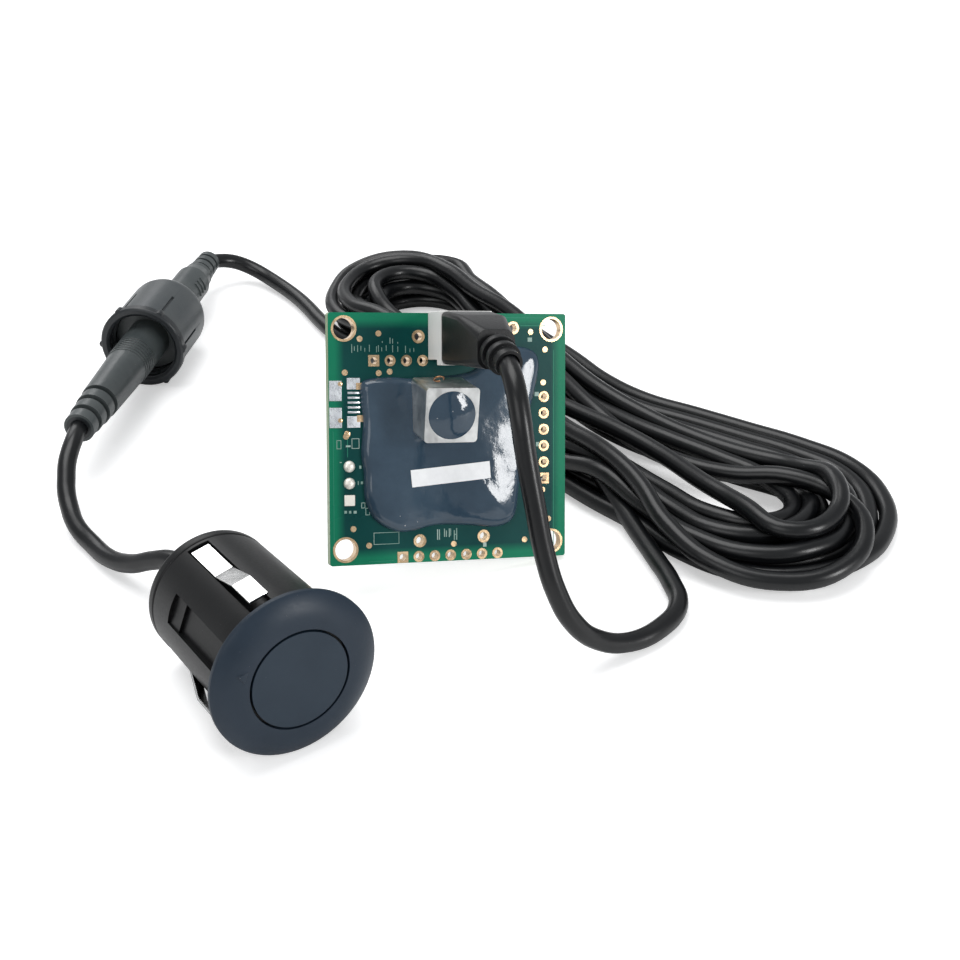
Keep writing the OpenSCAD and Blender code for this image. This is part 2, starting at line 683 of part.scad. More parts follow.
module coupling_nut() color([0.22, 0.23, 0.24]) at_connector() {
    bore_r = rear_body_r + nut_fit;
    difference() {
        rotate_extrude($fn = 96) polygon(concat(
            [[thread_r + mouth_chamfer, 0], [nut_ring_r - flange_round, 0],
                [nut_ring_r, -flange_round], [nut_ring_r, -nut_ring_len], [nut_r, -nut_ring_len]],
            [for (a = [0:15:90]) shoulder(a)],
            [[bore_r, -nut_len], [bore_r, nut_floor_z], [thread_r, nut_floor_z],
                [thread_r, -mouth_chamfer]]));
        for (i = [0:nut_grips - 1]) rotate(i * 360 / nut_grips)
            translate([nut_r - groove_cut_depth, -groove_cut_w / 2, -nut_ring_len - groove_cut_len])
                cube([nut_ring_d, groove_cut_w, groove_cut_len]);
    }
    for (i = [0:nut_grips - 1]) rotate(i * 360 / nut_grips) intersection() {
        translate([nut_ring_r - seam, 0, 0]) rod(lug_d / 2, -nut_ring_len, -flange_round);
        translate([nut_ring_r - seam, -lug_d, -nut_len]) cube([lug_d, 2 * lug_d, nut_len]);
    }
}

module sensor_lead() color([0.08, 0.08, 0.09]) from_origin() cable(lead_route);

module extension_run() color([0.08, 0.08, 0.09]) from_origin() cable(run_route);

module extension_loop() color([0.08, 0.08, 0.09]) from_origin() cable(loop_route);

// A point on the circle of radius r round c
function rim(c, r, a) = c + r * [cos(a), sin(a)];

// Two circles and the straight sides that join them
module joined_circles(c0, r0, c1, r1) {
    turn = acos((r0 - r1) / norm(c1 - c0));
    ahead = atan2((c1 - c0).y, (c1 - c0).x);
    translate(c0) circle(r0);
    translate(c1) circle(r1);
    polygon([
        rim(c0, r0, ahead + turn), rim(c0, r0, ahead - turn),
        rim(c1, r1, ahead - turn), rim(c1, r1, ahead + turn)]);
}

// The outer shape of the loosely wound hank of extension cable, with its waist
module extension_hank() color([0.1, 0.1, 0.11]) from_origin()
    translate([0, 0, hank_lift]) linear_extrude(hank_h)
        for (i = [1:len(hank_bends) - 1])
            joined_circles(hank_bends[i - 1], hank_radii[i - 1], hank_bends[i], hank_radii[i]);

module at_header() at_board() translate([header_pos.x, header_pos.y, 0]) children();

module header_pin_places()
    for (i = [0:header_pins_n - 1])
        translate([(i - (header_pins_n - 1) / 2) * header_pitch, 0, 0]) children();

module header_shell() color([0.93, 0.92, 0.88]) at_header() difference() {
    cavity = header_side - 2 * header_wall;
    linear_extrude(header_h) square(header_side, center = true);
    translate([0, 0, header_floor]) linear_extrude(header_h) square(cavity, center = true);
    translate([0, -header_side / 2, -over]) linear_extrude(header_foot_cut + over)
        square([header_side + 2 * over, 2 * header_foot_len], center = true);
    header_pin_places() linear_extrude(3 * header_floor, center = true)
        square(header_pin_w, center = true);
}

module header_pins() color([0.8, 0.72, 0.5]) at_header() header_pin_places()
    translate([0, 0, -board_t - header_tail])
        linear_extrude(header_h - header_pin_top + board_t + header_tail)
            square(header_pin_w, center = true);

// The section where the plug's body starts to slope
module plug_waist() translate([0, -plug_waist_drop, header_h + plug_waist_z])
    linear_extrude(plug_slice) round_rect(plug_waist_size, plug_corner);

// The plug's body, from its square end in the header to its cable end
module plug_body() {
    side = header_side - 2 * plug_fit;
    hull() {
        translate([0, 0, header_h + plug_fit]) linear_extrude(plug_slice)
            round_rect([side, side], plug_corner);
        plug_waist();
    }
    hull() {
        plug_waist();
        translate([0, -plug_drop, header_h + plug_len - plug_slice]) linear_extrude(plug_slice)
            round_rect([plug_end_side, plug_end_side], plug_corner * 2);
    }
}

module at_plug_end() translate([0, -plug_drop, header_h + plug_len - plug_relief_groove])
    rotate([plug_relief_droop, 0, 0]) children();

module plug_relief() at_plug_end() {
    step = plug_relief_ring + plug_relief_gap;
    rings = floor(plug_relief_len / step);
    cylinder(d = plug_relief_end_d - plug_relief_groove, h = plug_relief_len);
    for (i = [0:rings - 1]) translate([0, 0, plug_relief_gap + i * step])
        cylinder(d = plug_relief_d - (plug_relief_d - plug_relief_end_d) * i / rings,
            h = plug_relief_ring);
}

module cable_plug() color([0.1, 0.1, 0.11]) at_header() difference() {
    union() {
        translate([0, 0, header_floor + plug_floor_gap])
            linear_extrude(header_h - header_floor) square(nose_inner, center = true);
        plug_body();
        plug_relief();
    }
    header_pin_places() translate([0, 0, header_floor])
        linear_extrude(plug_floor_gap + contact_len) square(contact_w, center = true);
    at_plug_end() rod(cable_r, plug_relief_len - cable_bore_len, plug_relief_len + over);
}

module plug_contacts() color([0.75, 0.75, 0.72]) at_header() header_pin_places()
    translate([0, 0, header_floor + plug_floor_gap]) difference() {
        linear_extrude(contact_len) square(contact_w, center = true);
        translate([0, 0, -over]) linear_extrude(contact_len + 2 * over)
            square(header_pin_w + 2 * contact_fit, center = true);
    }

module board_holes(extra) {
    through = board_t + 2 * over;
    translate([0, 0, -board_t - over]) {
        at_points(corners) cylinder(d = hole_d + extra, h = through);
        at_points(pads) cylinder(d = pad_bore_d + extra, h = through, $fn = 24);
        at_points(eyelets) cylinder(d = eyelet_bore_d + extra, h = through, $fn = 24);
    }
}

module circuit_board() color([0.05, 0.4, 0.3]) at_board() difference() {
    translate([0, 0, -board_t]) linear_extrude(board_t) round_rect([board_side, board_side], board_corner);
    board_holes(2 * hole_plating);
    at_points(left_row) translate([0, 0, -board_t - over])
        cylinder(d = pad_bore_d, h = board_t + 2 * over, $fn = 24);
    translate(header_pos) header_pin_places() translate([0, 0, -board_t - over])
        linear_extrude(board_t + 2 * over) square(header_pin_w, center = true);
}

// A plated hole: a sleeve through the board with a rim on each face
module plated_hole(bore, rim) rotate_extrude($fn = 32) polygon([
    [bore / 2, plate_t], [rim / 2, plate_t], [rim / 2, 0], [bore / 2 + hole_plating, 0],
    [bore / 2 + hole_plating, -board_t], [rim / 2, -board_t], [rim / 2, -board_t - plate_t],
    [bore / 2, -board_t - plate_t]]);

// The square rim that marks the first pad of a row
module square_rim() for (z = [0, -board_t - plate_t]) translate([0, 0, z]) linear_extrude(plate_t)
    difference() {
        square(pad_d, center = true);
        circle(d = (pad_bore_d + pad_d) / 2, $fn = 24);
    }

module pad_plating() color([0.85, 0.7, 0.4]) at_board() {
    at_points(square_pads) square_rim();
    at_points(corners) plated_hole(hole_d, corner_pad_d);
    at_points(pads) plated_hole(pad_bore_d, pad_d);
    at_points(eyelets) plated_hole(eyelet_bore_d, eyelet_d);
    at_points(vias) cylinder(d = via_d, h = plate_t, $fn = 24);
}

module footprint_pads() color([0.8, 0.8, 0.78]) at_board() {
    for (p = footprint_wide) translate([p.x, p.y, 0])
        cube([footprint_wide_size.x, footprint_wide_size.y, plate_t]);
    for (p = footprint_inner) translate([p.x, p.y, 0])
        cube([footprint_inner_size.x, footprint_inner_size.y, plate_t]);
    for (i = [0:footprint_lines - 1])
        translate([footprint_line_pos.x, footprint_line_pos.y + i * footprint_line_pitch, 0])
            cube([footprint_line_size.x, footprint_line_size.y, plate_t]);
}

// A dome of solder on a pin or pad
module solder_dome(d, h) rotate_extrude($fn = 24)
    polygon([for (p = solder_shape) [p.x * d / 2, p.y * h]]);

module solder_fills() color([0.8, 0.8, 0.8]) at_board() {
    at_points(left_row) {
        solder_dome(fill_d, fill_h);
        translate([0, 0, -board_t]) cylinder(d = pad_bore_d, h = board_t, $fn = 24);
        translate([0, 0, -board_t]) mirror([0, 0, 1]) solder_dome(fill_d, fill_h);
    }
    translate([header_pos.x, header_pos.y, -board_t]) header_pin_places() difference() {
        mirror([0, 0, 1]) solder_dome(joint_d, joint_h);
        cube([header_pin_w, header_pin_w, 3 * joint_h], center = true);
    }
}

module chip_part_block(p) translate([p.x, p.y, 0])
    translate([-chip_parts_size.x / 2, -chip_parts_size.y / 2, 0]) cube(chip_parts_size);

module controller_block() translate([chip_pos.x - chip_side / 2, chip_pos.y - chip_side / 2, 0])
    cube([chip_side, chip_side, chip_h]);

// The quarter-round that runs along the resin's rim
module resin_edge() hull() for (i = [0:resin_steps]) let (a = resin_steep * i / resin_steps)
    translate([0, 0, (resin_h - 2 * resin_foot) * sin(a) / sin(resin_steep)])
        cylinder(r = resin_rim * cos(a), h = resin_foot, $fn = 20);

// The resin's pillow: its outline drawn in by the rim, then swept with that edge
module resin_pillow() minkowski() {
    linear_extrude(resin_foot) offset(delta = -resin_rim) polygon(resin_outline);
    resin_edge();
}

module potting_resin() color([0.25, 0.32, 0.4]) at_board() difference() {
    resin_pillow();
    controller_block();
    for (p = chip_parts_pos) chip_part_block(p);
    leaning_can() linear_extrude(can_h) round_rect([can_side, can_side], can_corner);
    translate([can_pos.x - can_side / 2, can_pos.y - can_side / 2, -over])
        cube([can_side, can_side, over + can_side * sin(can_lean)]);
}

module controller_chip() color([0.1, 0.1, 0.1]) at_board() controller_block();

module chip_parts() color([0.7, 0.6, 0.45]) at_board() for (p = chip_parts_pos) chip_part_block(p);

// The can leans a little over its lower edge, as it was potted
module leaning_can() translate([can_pos.x, can_pos.y - can_side / 2, 0]) rotate([can_lean, 0, 0])
    translate([0, can_side / 2, 0]) children();

module at_can() at_board() leaning_can() children();

module transformer_can() color([0.75, 0.75, 0.73]) at_can() difference() {
    linear_extrude(can_h) round_rect([can_side, can_side], can_corner);
    translate([0, 0, -over]) linear_extrude(can_h + over - can_t)
        round_rect([can_side - 2 * can_t, can_side - 2 * can_t], can_corner - can_t);
    rod(can_opening_d / 2, can_h - 2 * can_t, can_h + over);
}

module transformer_base() color([0.15, 0.15, 0.15]) at_can()
    linear_extrude(can_base_h)
        round_rect([can_side - 2 * can_t, can_side - 2 * can_t], can_corner - can_t);

module ferrite_core() color([0.3, 0.3, 0.3]) at_can() {
    top = can_h - fill_depth;
    rotate_extrude() polygon([
        [0, can_base_h], [core_r_large, can_base_h], [core_r_large, can_base_h + core_rim],
        [core_r_small, can_base_h + core_rim], [core_r_small, top - core_rim],
        [core_r_large, top - core_rim], [core_r_large, top], [0, top]]);
}

module winding() color([0.7, 0.35, 0.15]) at_can() {
    low = can_base_h + core_rim;
    high = can_h - fill_depth - core_rim;
    difference() {
        rod(core_r_large - winding_inset, low + winding_gap, high - winding_gap);
        rod(core_r_small, low - over, high + over);
    }
}

module can_fill() color([0.23, 0.3, 0.38]) at_can() {
    r = can_opening_d / 2;
    ball_r = (r * r + fill_bulge * fill_bulge) / (2 * fill_bulge);
    rod(r, can_h - can_t, can_h);
    rod(can_side / 2 - can_t, can_h - fill_depth, can_h - can_t);
    intersection() {
        translate([0, 0, can_h + fill_bulge - ball_r]) sphere(ball_r, $fn = 96);
        rod(r, can_h - can_t, can_h + fill_bulge + over);
    }
}

module board_label() color([0.95, 0.95, 0.93]) at_board()
    translate([label_pos.x, label_pos.y, resin_h]) rotate(label_turn)
        translate([-label_w / 2, -label_h / 2, 0]) cube([label_w, label_h, label_t]);

flange_ring();
barrel_housing();
membrane_cup();
isolation_ring();
piezo_disc();
damping_pad();
piezo_wires();
sealing_compound();
rear_cap();
lead_gland();
spring_clip(0);  // spring_clip_1
spring_clip(1);  // spring_clip_2
spring_clip(2);  // spring_clip_3
connector_front();
contact_pins();
seal_ring();
connector_rear();
contact_sockets();
slip_washer();
coupling_nut();
sensor_lead();
extension_run();
extension_hank();
extension_loop();
cable_plug();
plug_contacts();
header_shell();
header_pins();
circuit_board();
pad_plating();
footprint_pads();
solder_fills();
potting_resin();
controller_chip();
chip_parts();
transformer_can();
transformer_base();
ferrite_core();
winding();
can_fill();
board_label();
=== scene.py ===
"""Looks of a flush-mount ultrasonic sensor kit: transducer, in-line connector, cable, board.

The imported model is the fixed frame. Every length in the dataclasses is in millimetres, and
each mesh is built in metres with its place in its vertices.
"""

import json
import logging
import math
from dataclasses import dataclass, field
from enum import Enum

import bmesh
import bpy
import numpy as np
from mathutils import Matrix, Vector, noise


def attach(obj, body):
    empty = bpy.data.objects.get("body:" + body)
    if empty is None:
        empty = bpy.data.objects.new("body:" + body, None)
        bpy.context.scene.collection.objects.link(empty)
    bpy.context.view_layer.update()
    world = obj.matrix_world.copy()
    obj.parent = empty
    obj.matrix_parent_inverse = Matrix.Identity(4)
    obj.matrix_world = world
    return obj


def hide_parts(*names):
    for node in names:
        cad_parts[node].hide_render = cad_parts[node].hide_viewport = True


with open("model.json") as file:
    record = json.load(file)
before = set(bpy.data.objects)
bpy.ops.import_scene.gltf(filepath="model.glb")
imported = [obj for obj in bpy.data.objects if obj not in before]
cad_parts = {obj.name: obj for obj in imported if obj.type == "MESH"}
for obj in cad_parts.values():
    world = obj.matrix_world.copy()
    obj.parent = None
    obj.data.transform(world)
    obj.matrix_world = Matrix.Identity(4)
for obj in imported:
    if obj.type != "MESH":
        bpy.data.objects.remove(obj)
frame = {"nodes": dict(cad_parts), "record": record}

LOG = logging.getLogger("sensor_kit")
MM = 0.001
NODES: dict[str, bpy.types.Object] = frame["nodes"]
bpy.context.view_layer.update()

Colour = tuple[float, float, float]
Point = tuple[float, float, float]
Pair = tuple[float, float]
Box = tuple[float, float, float, float]
Socket = bpy.types.NodeSocket
Node = bpy.types.Node
Tree = bpy.types.NodeTree
Shape = bmesh.types.BMesh
TINY = 1e-6


class Body(Enum):
    KIT = "base"
    CLIP_1 = "clip_1"
    CLIP_2 = "clip_2"
    CLIP_3 = "clip_3"
    NUT = "nut"


@dataclass(frozen=True)
class Placement:
    origin: Point
    pitch: float
    roll: float
    yaw: float

    def matrix(self) -> Matrix:
        turn = (
            Matrix.Rotation(math.radians(self.yaw), 4, "Z")
            @ Matrix.Rotation(math.radians(self.roll), 4, "Y")
            @ Matrix.Rotation(math.radians(self.pitch), 4, "X")
        )
        return Matrix.Translation(Vector(self.origin) * MM) @ turn


SENSOR_PLACE = Placement((-7.86, -26.64, 11.9141), 90 - 5.5953, 0.0, 34.0)
CONNECTOR_PLACE = Placement((-46.26, 70.36, 7.9603), 90 - 2.237, 0.0, -8.3)
BOARD_PLACE = Placement((12.19, 18.06, 20.251), 63.0, 8.8, 17.0)


class Graph:
    """A node tree with short calls for its nodes and links."""

    MASK, LOW, HIGH, BLEND = 0, 6, 7, 2

    def __init__(self, tree: Tree) -> None:
        """Keep the tree at hand."""
        self.tree = tree

    def put(self, node: Node, key: int | str, value: object) -> None:
        """Link a socket to a node's input, or set the input to a constant.

        Args:
            node: The node that gets it.
            key: The input's number or name.
            value: A socket or a constant.
        """
        if isinstance(value, Socket):
            self.tree.links.new(value, node.inputs[key])
        else:
            node.inputs[key].default_value = value

    def node(self, kind: str, **values: object) -> Node:
        """Add a node with its properties and inputs.

        Args:
            kind: The node's type name without its prefix.
            values: Properties by name, or inputs by name with spaces as underscores.

        Returns:
            The new node.
        """
        node = self.tree.nodes.new("ShaderNode" + kind)
        for key, value in values.items():
            label = key.replace("_", " ")
            if label in node.inputs:
                self.put(node, label, value)
            else:
                setattr(node, key, value)
        return node

    def group(self, effect: Tree, **values: float) -> Socket:
        """Place a shared effect.

        Args:
            effect: The effect's group.
            values: Its inputs by name.

        Returns:
            The effect's output.
        """
        node = self.tree.nodes.new("ShaderNodeGroup")
        node.node_tree = effect
        for key, value in values.items():
            self.put(node, key, value)
        return node.outputs[0]

    def calc(self, kind: str, *values: object) -> Socket:
        """Add one sum on sockets or numbers.

        Args:
            kind: The Math node's operation.
            values: Its inputs in order.

        Returns:
            The result's socket.
        """
        node = self.node("Math", operation=kind)
        for index, value in enumerate(values):
            self.put(node, index, value)
        return node.outputs[0]

    def mix(self, mask: Socket, low: object, high: object) -> Socket:
        """Blend two colours by a mask.

        Args:
            mask: The factor's socket.
            low: A colour or a socket that shows where the mask is 0.
            high: A colour or a socket that shows where the mask is 1.

        Returns:
            The blended colour's socket.
        """
        node = self.node("Mix", data_type="RGBA")
        self.put(node, self.MASK, mask)
        for key, value in ((self.LOW, low), (self.HIGH, high)):
            self.put(node, key, value if isinstance(value, Socket) else (*value, 1.0))
        return node.outputs[self.BLEND]

    def spread(self, value: Socket, low: float, high: float) -> Socket:
        """Map a 0 to 1 value to the range from low to high."""
        return self.node("MapRange", Value=value, To_Min=low, To_Max=high).outputs["Result"]

    def window(self, value: Socket, low: float, high: float) -> Socket:
        """Map the range from low to high to 0 to 1."""
        return self.node("MapRange", Value=value, From_Min=low, From_Max=high).outputs["Result"]

    def local(self, place: Placement) -> tuple[Socket, ...]:
        """Read the coordinates in a sub-assembly's own frame.

        Args:
            place: Where that frame stands.

        Returns:
            The sockets of x, y and z, in metres.
        """
        away = place.matrix().inverted()
        turned = self.node("Mapping", Vector=self.node("TexCoord").outputs["Object"],
                           Location=away.to_translation(), Rotation=away.to_euler())
        return tuple(self.node("SeparateXYZ", Vector=turned.outputs["Vector"]).outputs)


class Sketch(Graph):
    """A material that holds one Principled shader."""

    def __init__(self, name: str) -> None:
        """Start the material.

        Args:
            name: The material's name.
        """
        self.material = bpy.data.materials.new(name)
        self.material.use_nodes = True
        super().__init__(self.material.node_tree)
        self.shader = next(n for n in self.tree.nodes if n.type == "BSDF_PRINCIPLED")

    def set(self, **values: object) -> None:
        """Link or set the shader's own inputs, named with spaces as underscores."""
        for key, value in values.items():
            self.put(self.shader, key.replace("_", " "), value)

    def bump(self, height: Socket, depth: float) -> None:
        """Lay a bump over those that the shader has so far.

        Args:
            height: The height's socket, about 0 to 1.
            depth: What a height of 1 stands for, in millimetres.
        """
        node = self.node("Bump", Strength=1.0, Distance=depth * MM, Height=height)
        for link in self.shader.inputs["Normal"].links:
            self.put(node, "Normal", link.from_socket)
        self.set(Normal=node.outputs["Normal"])


class Effects:
    """Surface effects that several finishes share, each built once as a node group."""

    def __init__(self) -> None:
        """Build every effect."""
        self.grain = self._noise("fine_grain", detail=3.0, roughness=0.62, window=(0.0, 1.0))
        self.cloud = self._noise("cloudy_tone", detail=4.0, roughness=0.55, window=(0.36, 0.64))
        self.specks = self._specks()
        self.scuffs = self._scuffs()

    @staticmethod
    def _start(
        name: str, inputs: tuple[str, ...], output: str
    ) -> tuple[Graph, Node, Node, Socket]:
        """Start a node group with float inputs and one float output.

        Args:
            name: The group's name.
            inputs: Its inputs' names.
            output: Its output's name.

        Returns:
            The group's tree, its input and output nodes and the object's coordinates.
        """
        tree = bpy.data.node_groups.new(name, "ShaderNodeTree")
        for label in inputs:
            tree.interface.new_socket(label, in_out="INPUT", socket_type="NodeSocketFloat")
        tree.interface.new_socket(output, in_out="OUTPUT", socket_type="NodeSocketFloat")
        art = Graph(tree)
        return (art, tree.nodes.new("NodeGroupInput"), tree.nodes.new("NodeGroupOutput"),
                art.node("TexCoord").outputs["Object"])

    def _noise(self, name: str, detail: float, roughness: float, window: Pair) -> Tree:
        """Build a noise on the object's own coordinates.

        Args:
            name: The group's name.
            detail: Octaves of the noise.
            roughness: How much each octave adds.
            window: The noise values that become 0 and 1.

        Returns:
            The group.
        """
        art, given, result, place = self._start(name, ("Scale",), "Value")
        waves = art.node("TexNoise", Vector=place, Scale=given.outputs["Scale"], Detail=detail,
                         Roughness=roughness)
        art.put(result, "Value", art.window(waves.outputs["Fac"], *window))
        return art.tree

    def _specks(self) -> Tree:
        """Build small round specks, such as dust, that thin out in patches.

        Returns:
            The group.
        """
        art, given, result, place = self._start("dust_specks", ("Scale", "Amount"), "Mask")
        cells = art.node("TexVoronoi", Vector=place, Scale=given.outputs["Scale"])
        patches = art.node("TexNoise", Vector=place, Scale=60.0, Detail=2.0)
        size = art.calc("MULTIPLY", patches.outputs["Fac"], given.outputs["Amount"])
        art.put(result, "Mask", art.calc("LESS_THAN", cells.outputs["Distance"], size))
        return art.tree

    def _scuffs(self) -> Tree:
        """Build thin marks that run one way, as rolling and handling leave.

        Returns:
            The group.
        """
        art, given, result, place = self._start("fine_scuffs", ("Scale", "Stretch"), "Mask")
        turned = art.node("Mapping", Vector=place, Rotation=(0.3, 0.1, math.radians(34)))
        shape = art.node("CombineXYZ", X=1.0, Y=given.outputs["Stretch"], Z=1.0)
        squeeze = art.node("VectorMath", operation="MULTIPLY")
        for index, source in enumerate((turned, shape)):
            art.put(squeeze, index, source.outputs["Vector"])
        waves = art.node("TexNoise", Vector=squeeze.outputs["Vector"],
                         Scale=given.outputs["Scale"], Detail=4.0, Roughness=0.7)
        art.put(result, "Mask", art.window(waves.outputs["Fac"], low=0.38, high=0.68))
        return art.tree


@dataclass(frozen=True)
class Plastic:
    """A plastic, rubber or paper with a fine grain, a cloudy tone and a little dust."""

    name: str
    colour: Colour
    tone: Colour
    rough: Pair
    scale: float = 2600.0
    depth: float = 0.012
    dust: float = 0.05
    specular: float = 0.3
    dust_scale: float = 900.0
    dust_colour: Colour = (0.35, 0.36, 0.37)
    cloud_scale: float = 160.0

    def marks(self, art: Sketch, effects: Effects) -> Socket:
        """Return the pattern that roughens the surface."""
        return art.group(effects.grain, Scale=self.scale)

    def sketch(self, effects: Effects) -> Sketch:
        """Draw the material.

        Args:
            effects: The shared effects.

        Returns:
            The finished sketch.
        """
        art = Sketch(self.name)
        tone = art.mix(art.group(effects.cloud, Scale=self.cloud_scale), self.colour, self.tone)
        if self.dust:
            dust = art.group(effects.specks, Scale=self.dust_scale, Amount=self.dust)
            tone = art.mix(dust, tone, self.dust_colour)
        marks = self.marks(art, effects)
        art.set(Base_Color=tone, Roughness=art.spread(marks, *self.rough),
                Specular_IOR_Level=self.specular)
        art.bump(marks, self.depth)
        return art


@dataclass(frozen=True)
class Metal(Plastic):
    """A rolled, plated or cast metal with fine marks along one way."""

    scale: float = 240.0
    depth: float = 0.006
    dust: float = 0.0
    specular: float = 0.5
    cloud_scale: float = 420.0
    stretch: float = 9.0
    metallic: float = 1.0

    def marks(self, art: Sketch, effects: Effects) -> Socket:
        """Return the thin marks of rolling and handling."""
        return art.group(effects.scuffs, Scale=self.scale, Stretch=self.stretch)

    def sketch(self, effects: Effects) -> Sketch:
        """Draw the surface and make it metal.

        Args:
            effects: The shared effects.

        Returns:
            The finished sketch.
        """
        art = super().sketch(effects)
        art.set(Metallic=self.metallic)
        return art


@dataclass(frozen=True)
class TurnedPlastic:
    """A round moulding's plastic with painted shade in its bore and mouth, and an inside thread.

    The painted shade lies above a set height, which nothing reaches unless that height is set.
    """

    place: Placement
    plain: Plastic
    # The painted shade's height, radius, strength and colour.
    painted_shade_from: float = 99.0
    painted_shade_below_radius: float = 0.0
    thread_radius: float = 0.0
    thread_pitch: float = 1.5
    thread_depth: float = 0.16
    shade: float = 0.75
    painted_shade_colour: Colour = (0.004, 0.0055, 0.008)

    @property
    def name(self) -> str:
        """Return the plain plastic's name."""
        return self.plain.name

    def sketch(self, effects: Effects) -> Sketch:
        """Draw the plain plastic, then paint shade on it and cut its thread.

        Args:
            effects: The shared effects.

        Returns:
            The finished sketch.
        """
        art = self.plain.sketch(effects)
        x, y, z = art.local(self.place)
        reach = art.calc("SQRT", art.calc(
            "ADD", art.calc("MULTIPLY", x, x), art.calc("MULTIPLY", y, y)))
        # Painted shade: darker inside the bore near the axis and on the mouth ring, where shade
        # falls.
        bore_shade = art.calc("LESS_THAN", reach, self.painted_shade_below_radius * MM)
        mouth_shade = art.calc("GREATER_THAN", z, self.painted_shade_from * MM)
        shade = art.calc("MULTIPLY", art.calc("MAXIMUM", bore_shade, mouth_shade), self.shade)
        tone = art.shader.inputs["Base Color"].links[0].from_socket
        art.set(Base_Color=art.mix(shade, tone, self.painted_shade_colour))
        if self.thread_radius:
            inside = art.calc("LESS_THAN", reach, self.thread_radius * MM)
            climb = art.calc("MULTIPLY", z, math.tau / (self.thread_pitch * MM))
            wave = art.calc("SINE", art.calc("ADD", climb, art.calc("ARCTAN2", y, x)))
            art.bump(art.calc("MULTIPLY", wave, inside), self.thread_depth)
        return art


@dataclass(frozen=True)
class CastResin:
    """Glossy cast resin with a soft waviness and dust that fell on it."""

    name: str = "potting_resin"
    colour: Colour = (0.028, 0.052, 0.08)
    tone: Colour = (0.041, 0.071, 0.104)
    rough: Pair = (0.07, 0.16)
    cloud_scale: float = 110.0
    wave_scale: float = 260.0
    wave_depth: float = 0.025
    dust: float = 0.09
    dust_scale: float = 520.0
    dust_depth: float = 0.03
    dust_colour: Colour = (0.3, 0.32, 0.34)

    def sketch(self, effects: Effects) -> Sketch:
        """Draw the material from the shared effects.

        Args:
            effects: The shared effects.

        Returns:
            The finished sketch.
        """
        art = Sketch(self.name)
        cloud = art.group(effects.cloud, Scale=self.cloud_scale)
        dust = art.group(effects.specks, Scale=self.dust_scale, Amount=self.dust)
        tone = art.mix(cloud, self.colour, self.tone)
        art.set(Base_Color=art.mix(dust, tone, self.dust_colour),
                Roughness=art.spread(cloud, *self.rough), Coat_Weight=0.15, Coat_Roughness=0.05)
        art.bump(art.group(effects.cloud, Scale=self.wave_scale), self.wave_depth)
        art.bump(dust, self.dust_depth)
        return art


@dataclass(frozen=True)
class SolderMask:
    """Green solder mask over copper, with a brighter edge where no copper lies below."""

    place: Placement
    side: float
    thick: float
    name: str = "board_green"
    over_copper: tuple[Colour, Colour] = ((0.001, 0.046, 0.044), (0.001, 0.058, 0.053))
    bare: Colour = (0.006, 0.19, 0.1)
    track: Colour = (0.03, 0.24, 0.15)
    core: Colour = (0.34, 0.42, 0.27)
    border: float = 1.9
    fade: Pair = (-0.5, 0.9)
    track_height: float = 0.012
    core_share: float = 0.47
    rough: Pair = (0.26, 0.38)
    cloud_scale: float = 90.0
    weave_scale: float = 1500.0
    weave_depth: float = 0.008

    def sketch(self, effects: Effects) -> Sketch:
        """Draw the material in the board's own frame.

        Args:
            effects: The shared effects.

        Returns:
            The finished sketch.
        """
        art = Sketch(self.name)
        x, y, z = art.local(self.place)
        inner = self.side / 2 - self.border
        reach = art.calc("MAXIMUM", art.calc("ABSOLUTE", x), art.calc("ABSOLUTE", y))
        edge = art.window(reach, *((inner + step) * MM for step in self.fade))
        cloud = art.group(effects.cloud, Scale=self.cloud_scale)
        ground = art.mix(edge, art.mix(cloud, *self.over_copper), self.bare)
        raised = art.calc("GREATER_THAN", z, self.track_height * MM)
        faces = art.mix(raised, ground, self.track)
        depth = art.window(z, -self.thick * MM, 0.0)
        off_middle = art.calc("ABSOLUTE", art.calc("SUBTRACT", depth, 0.5))
        within = art.calc("LESS_THAN", off_middle, self.core_share)
        art.set(Base_Color=art.mix(within, faces, self.core),
                Roughness=art.spread(cloud, *self.rough), Specular_IOR_Level=0.15)
        art.bump(art.group(effects.grain, Scale=self.weave_scale), self.weave_depth)
        return art


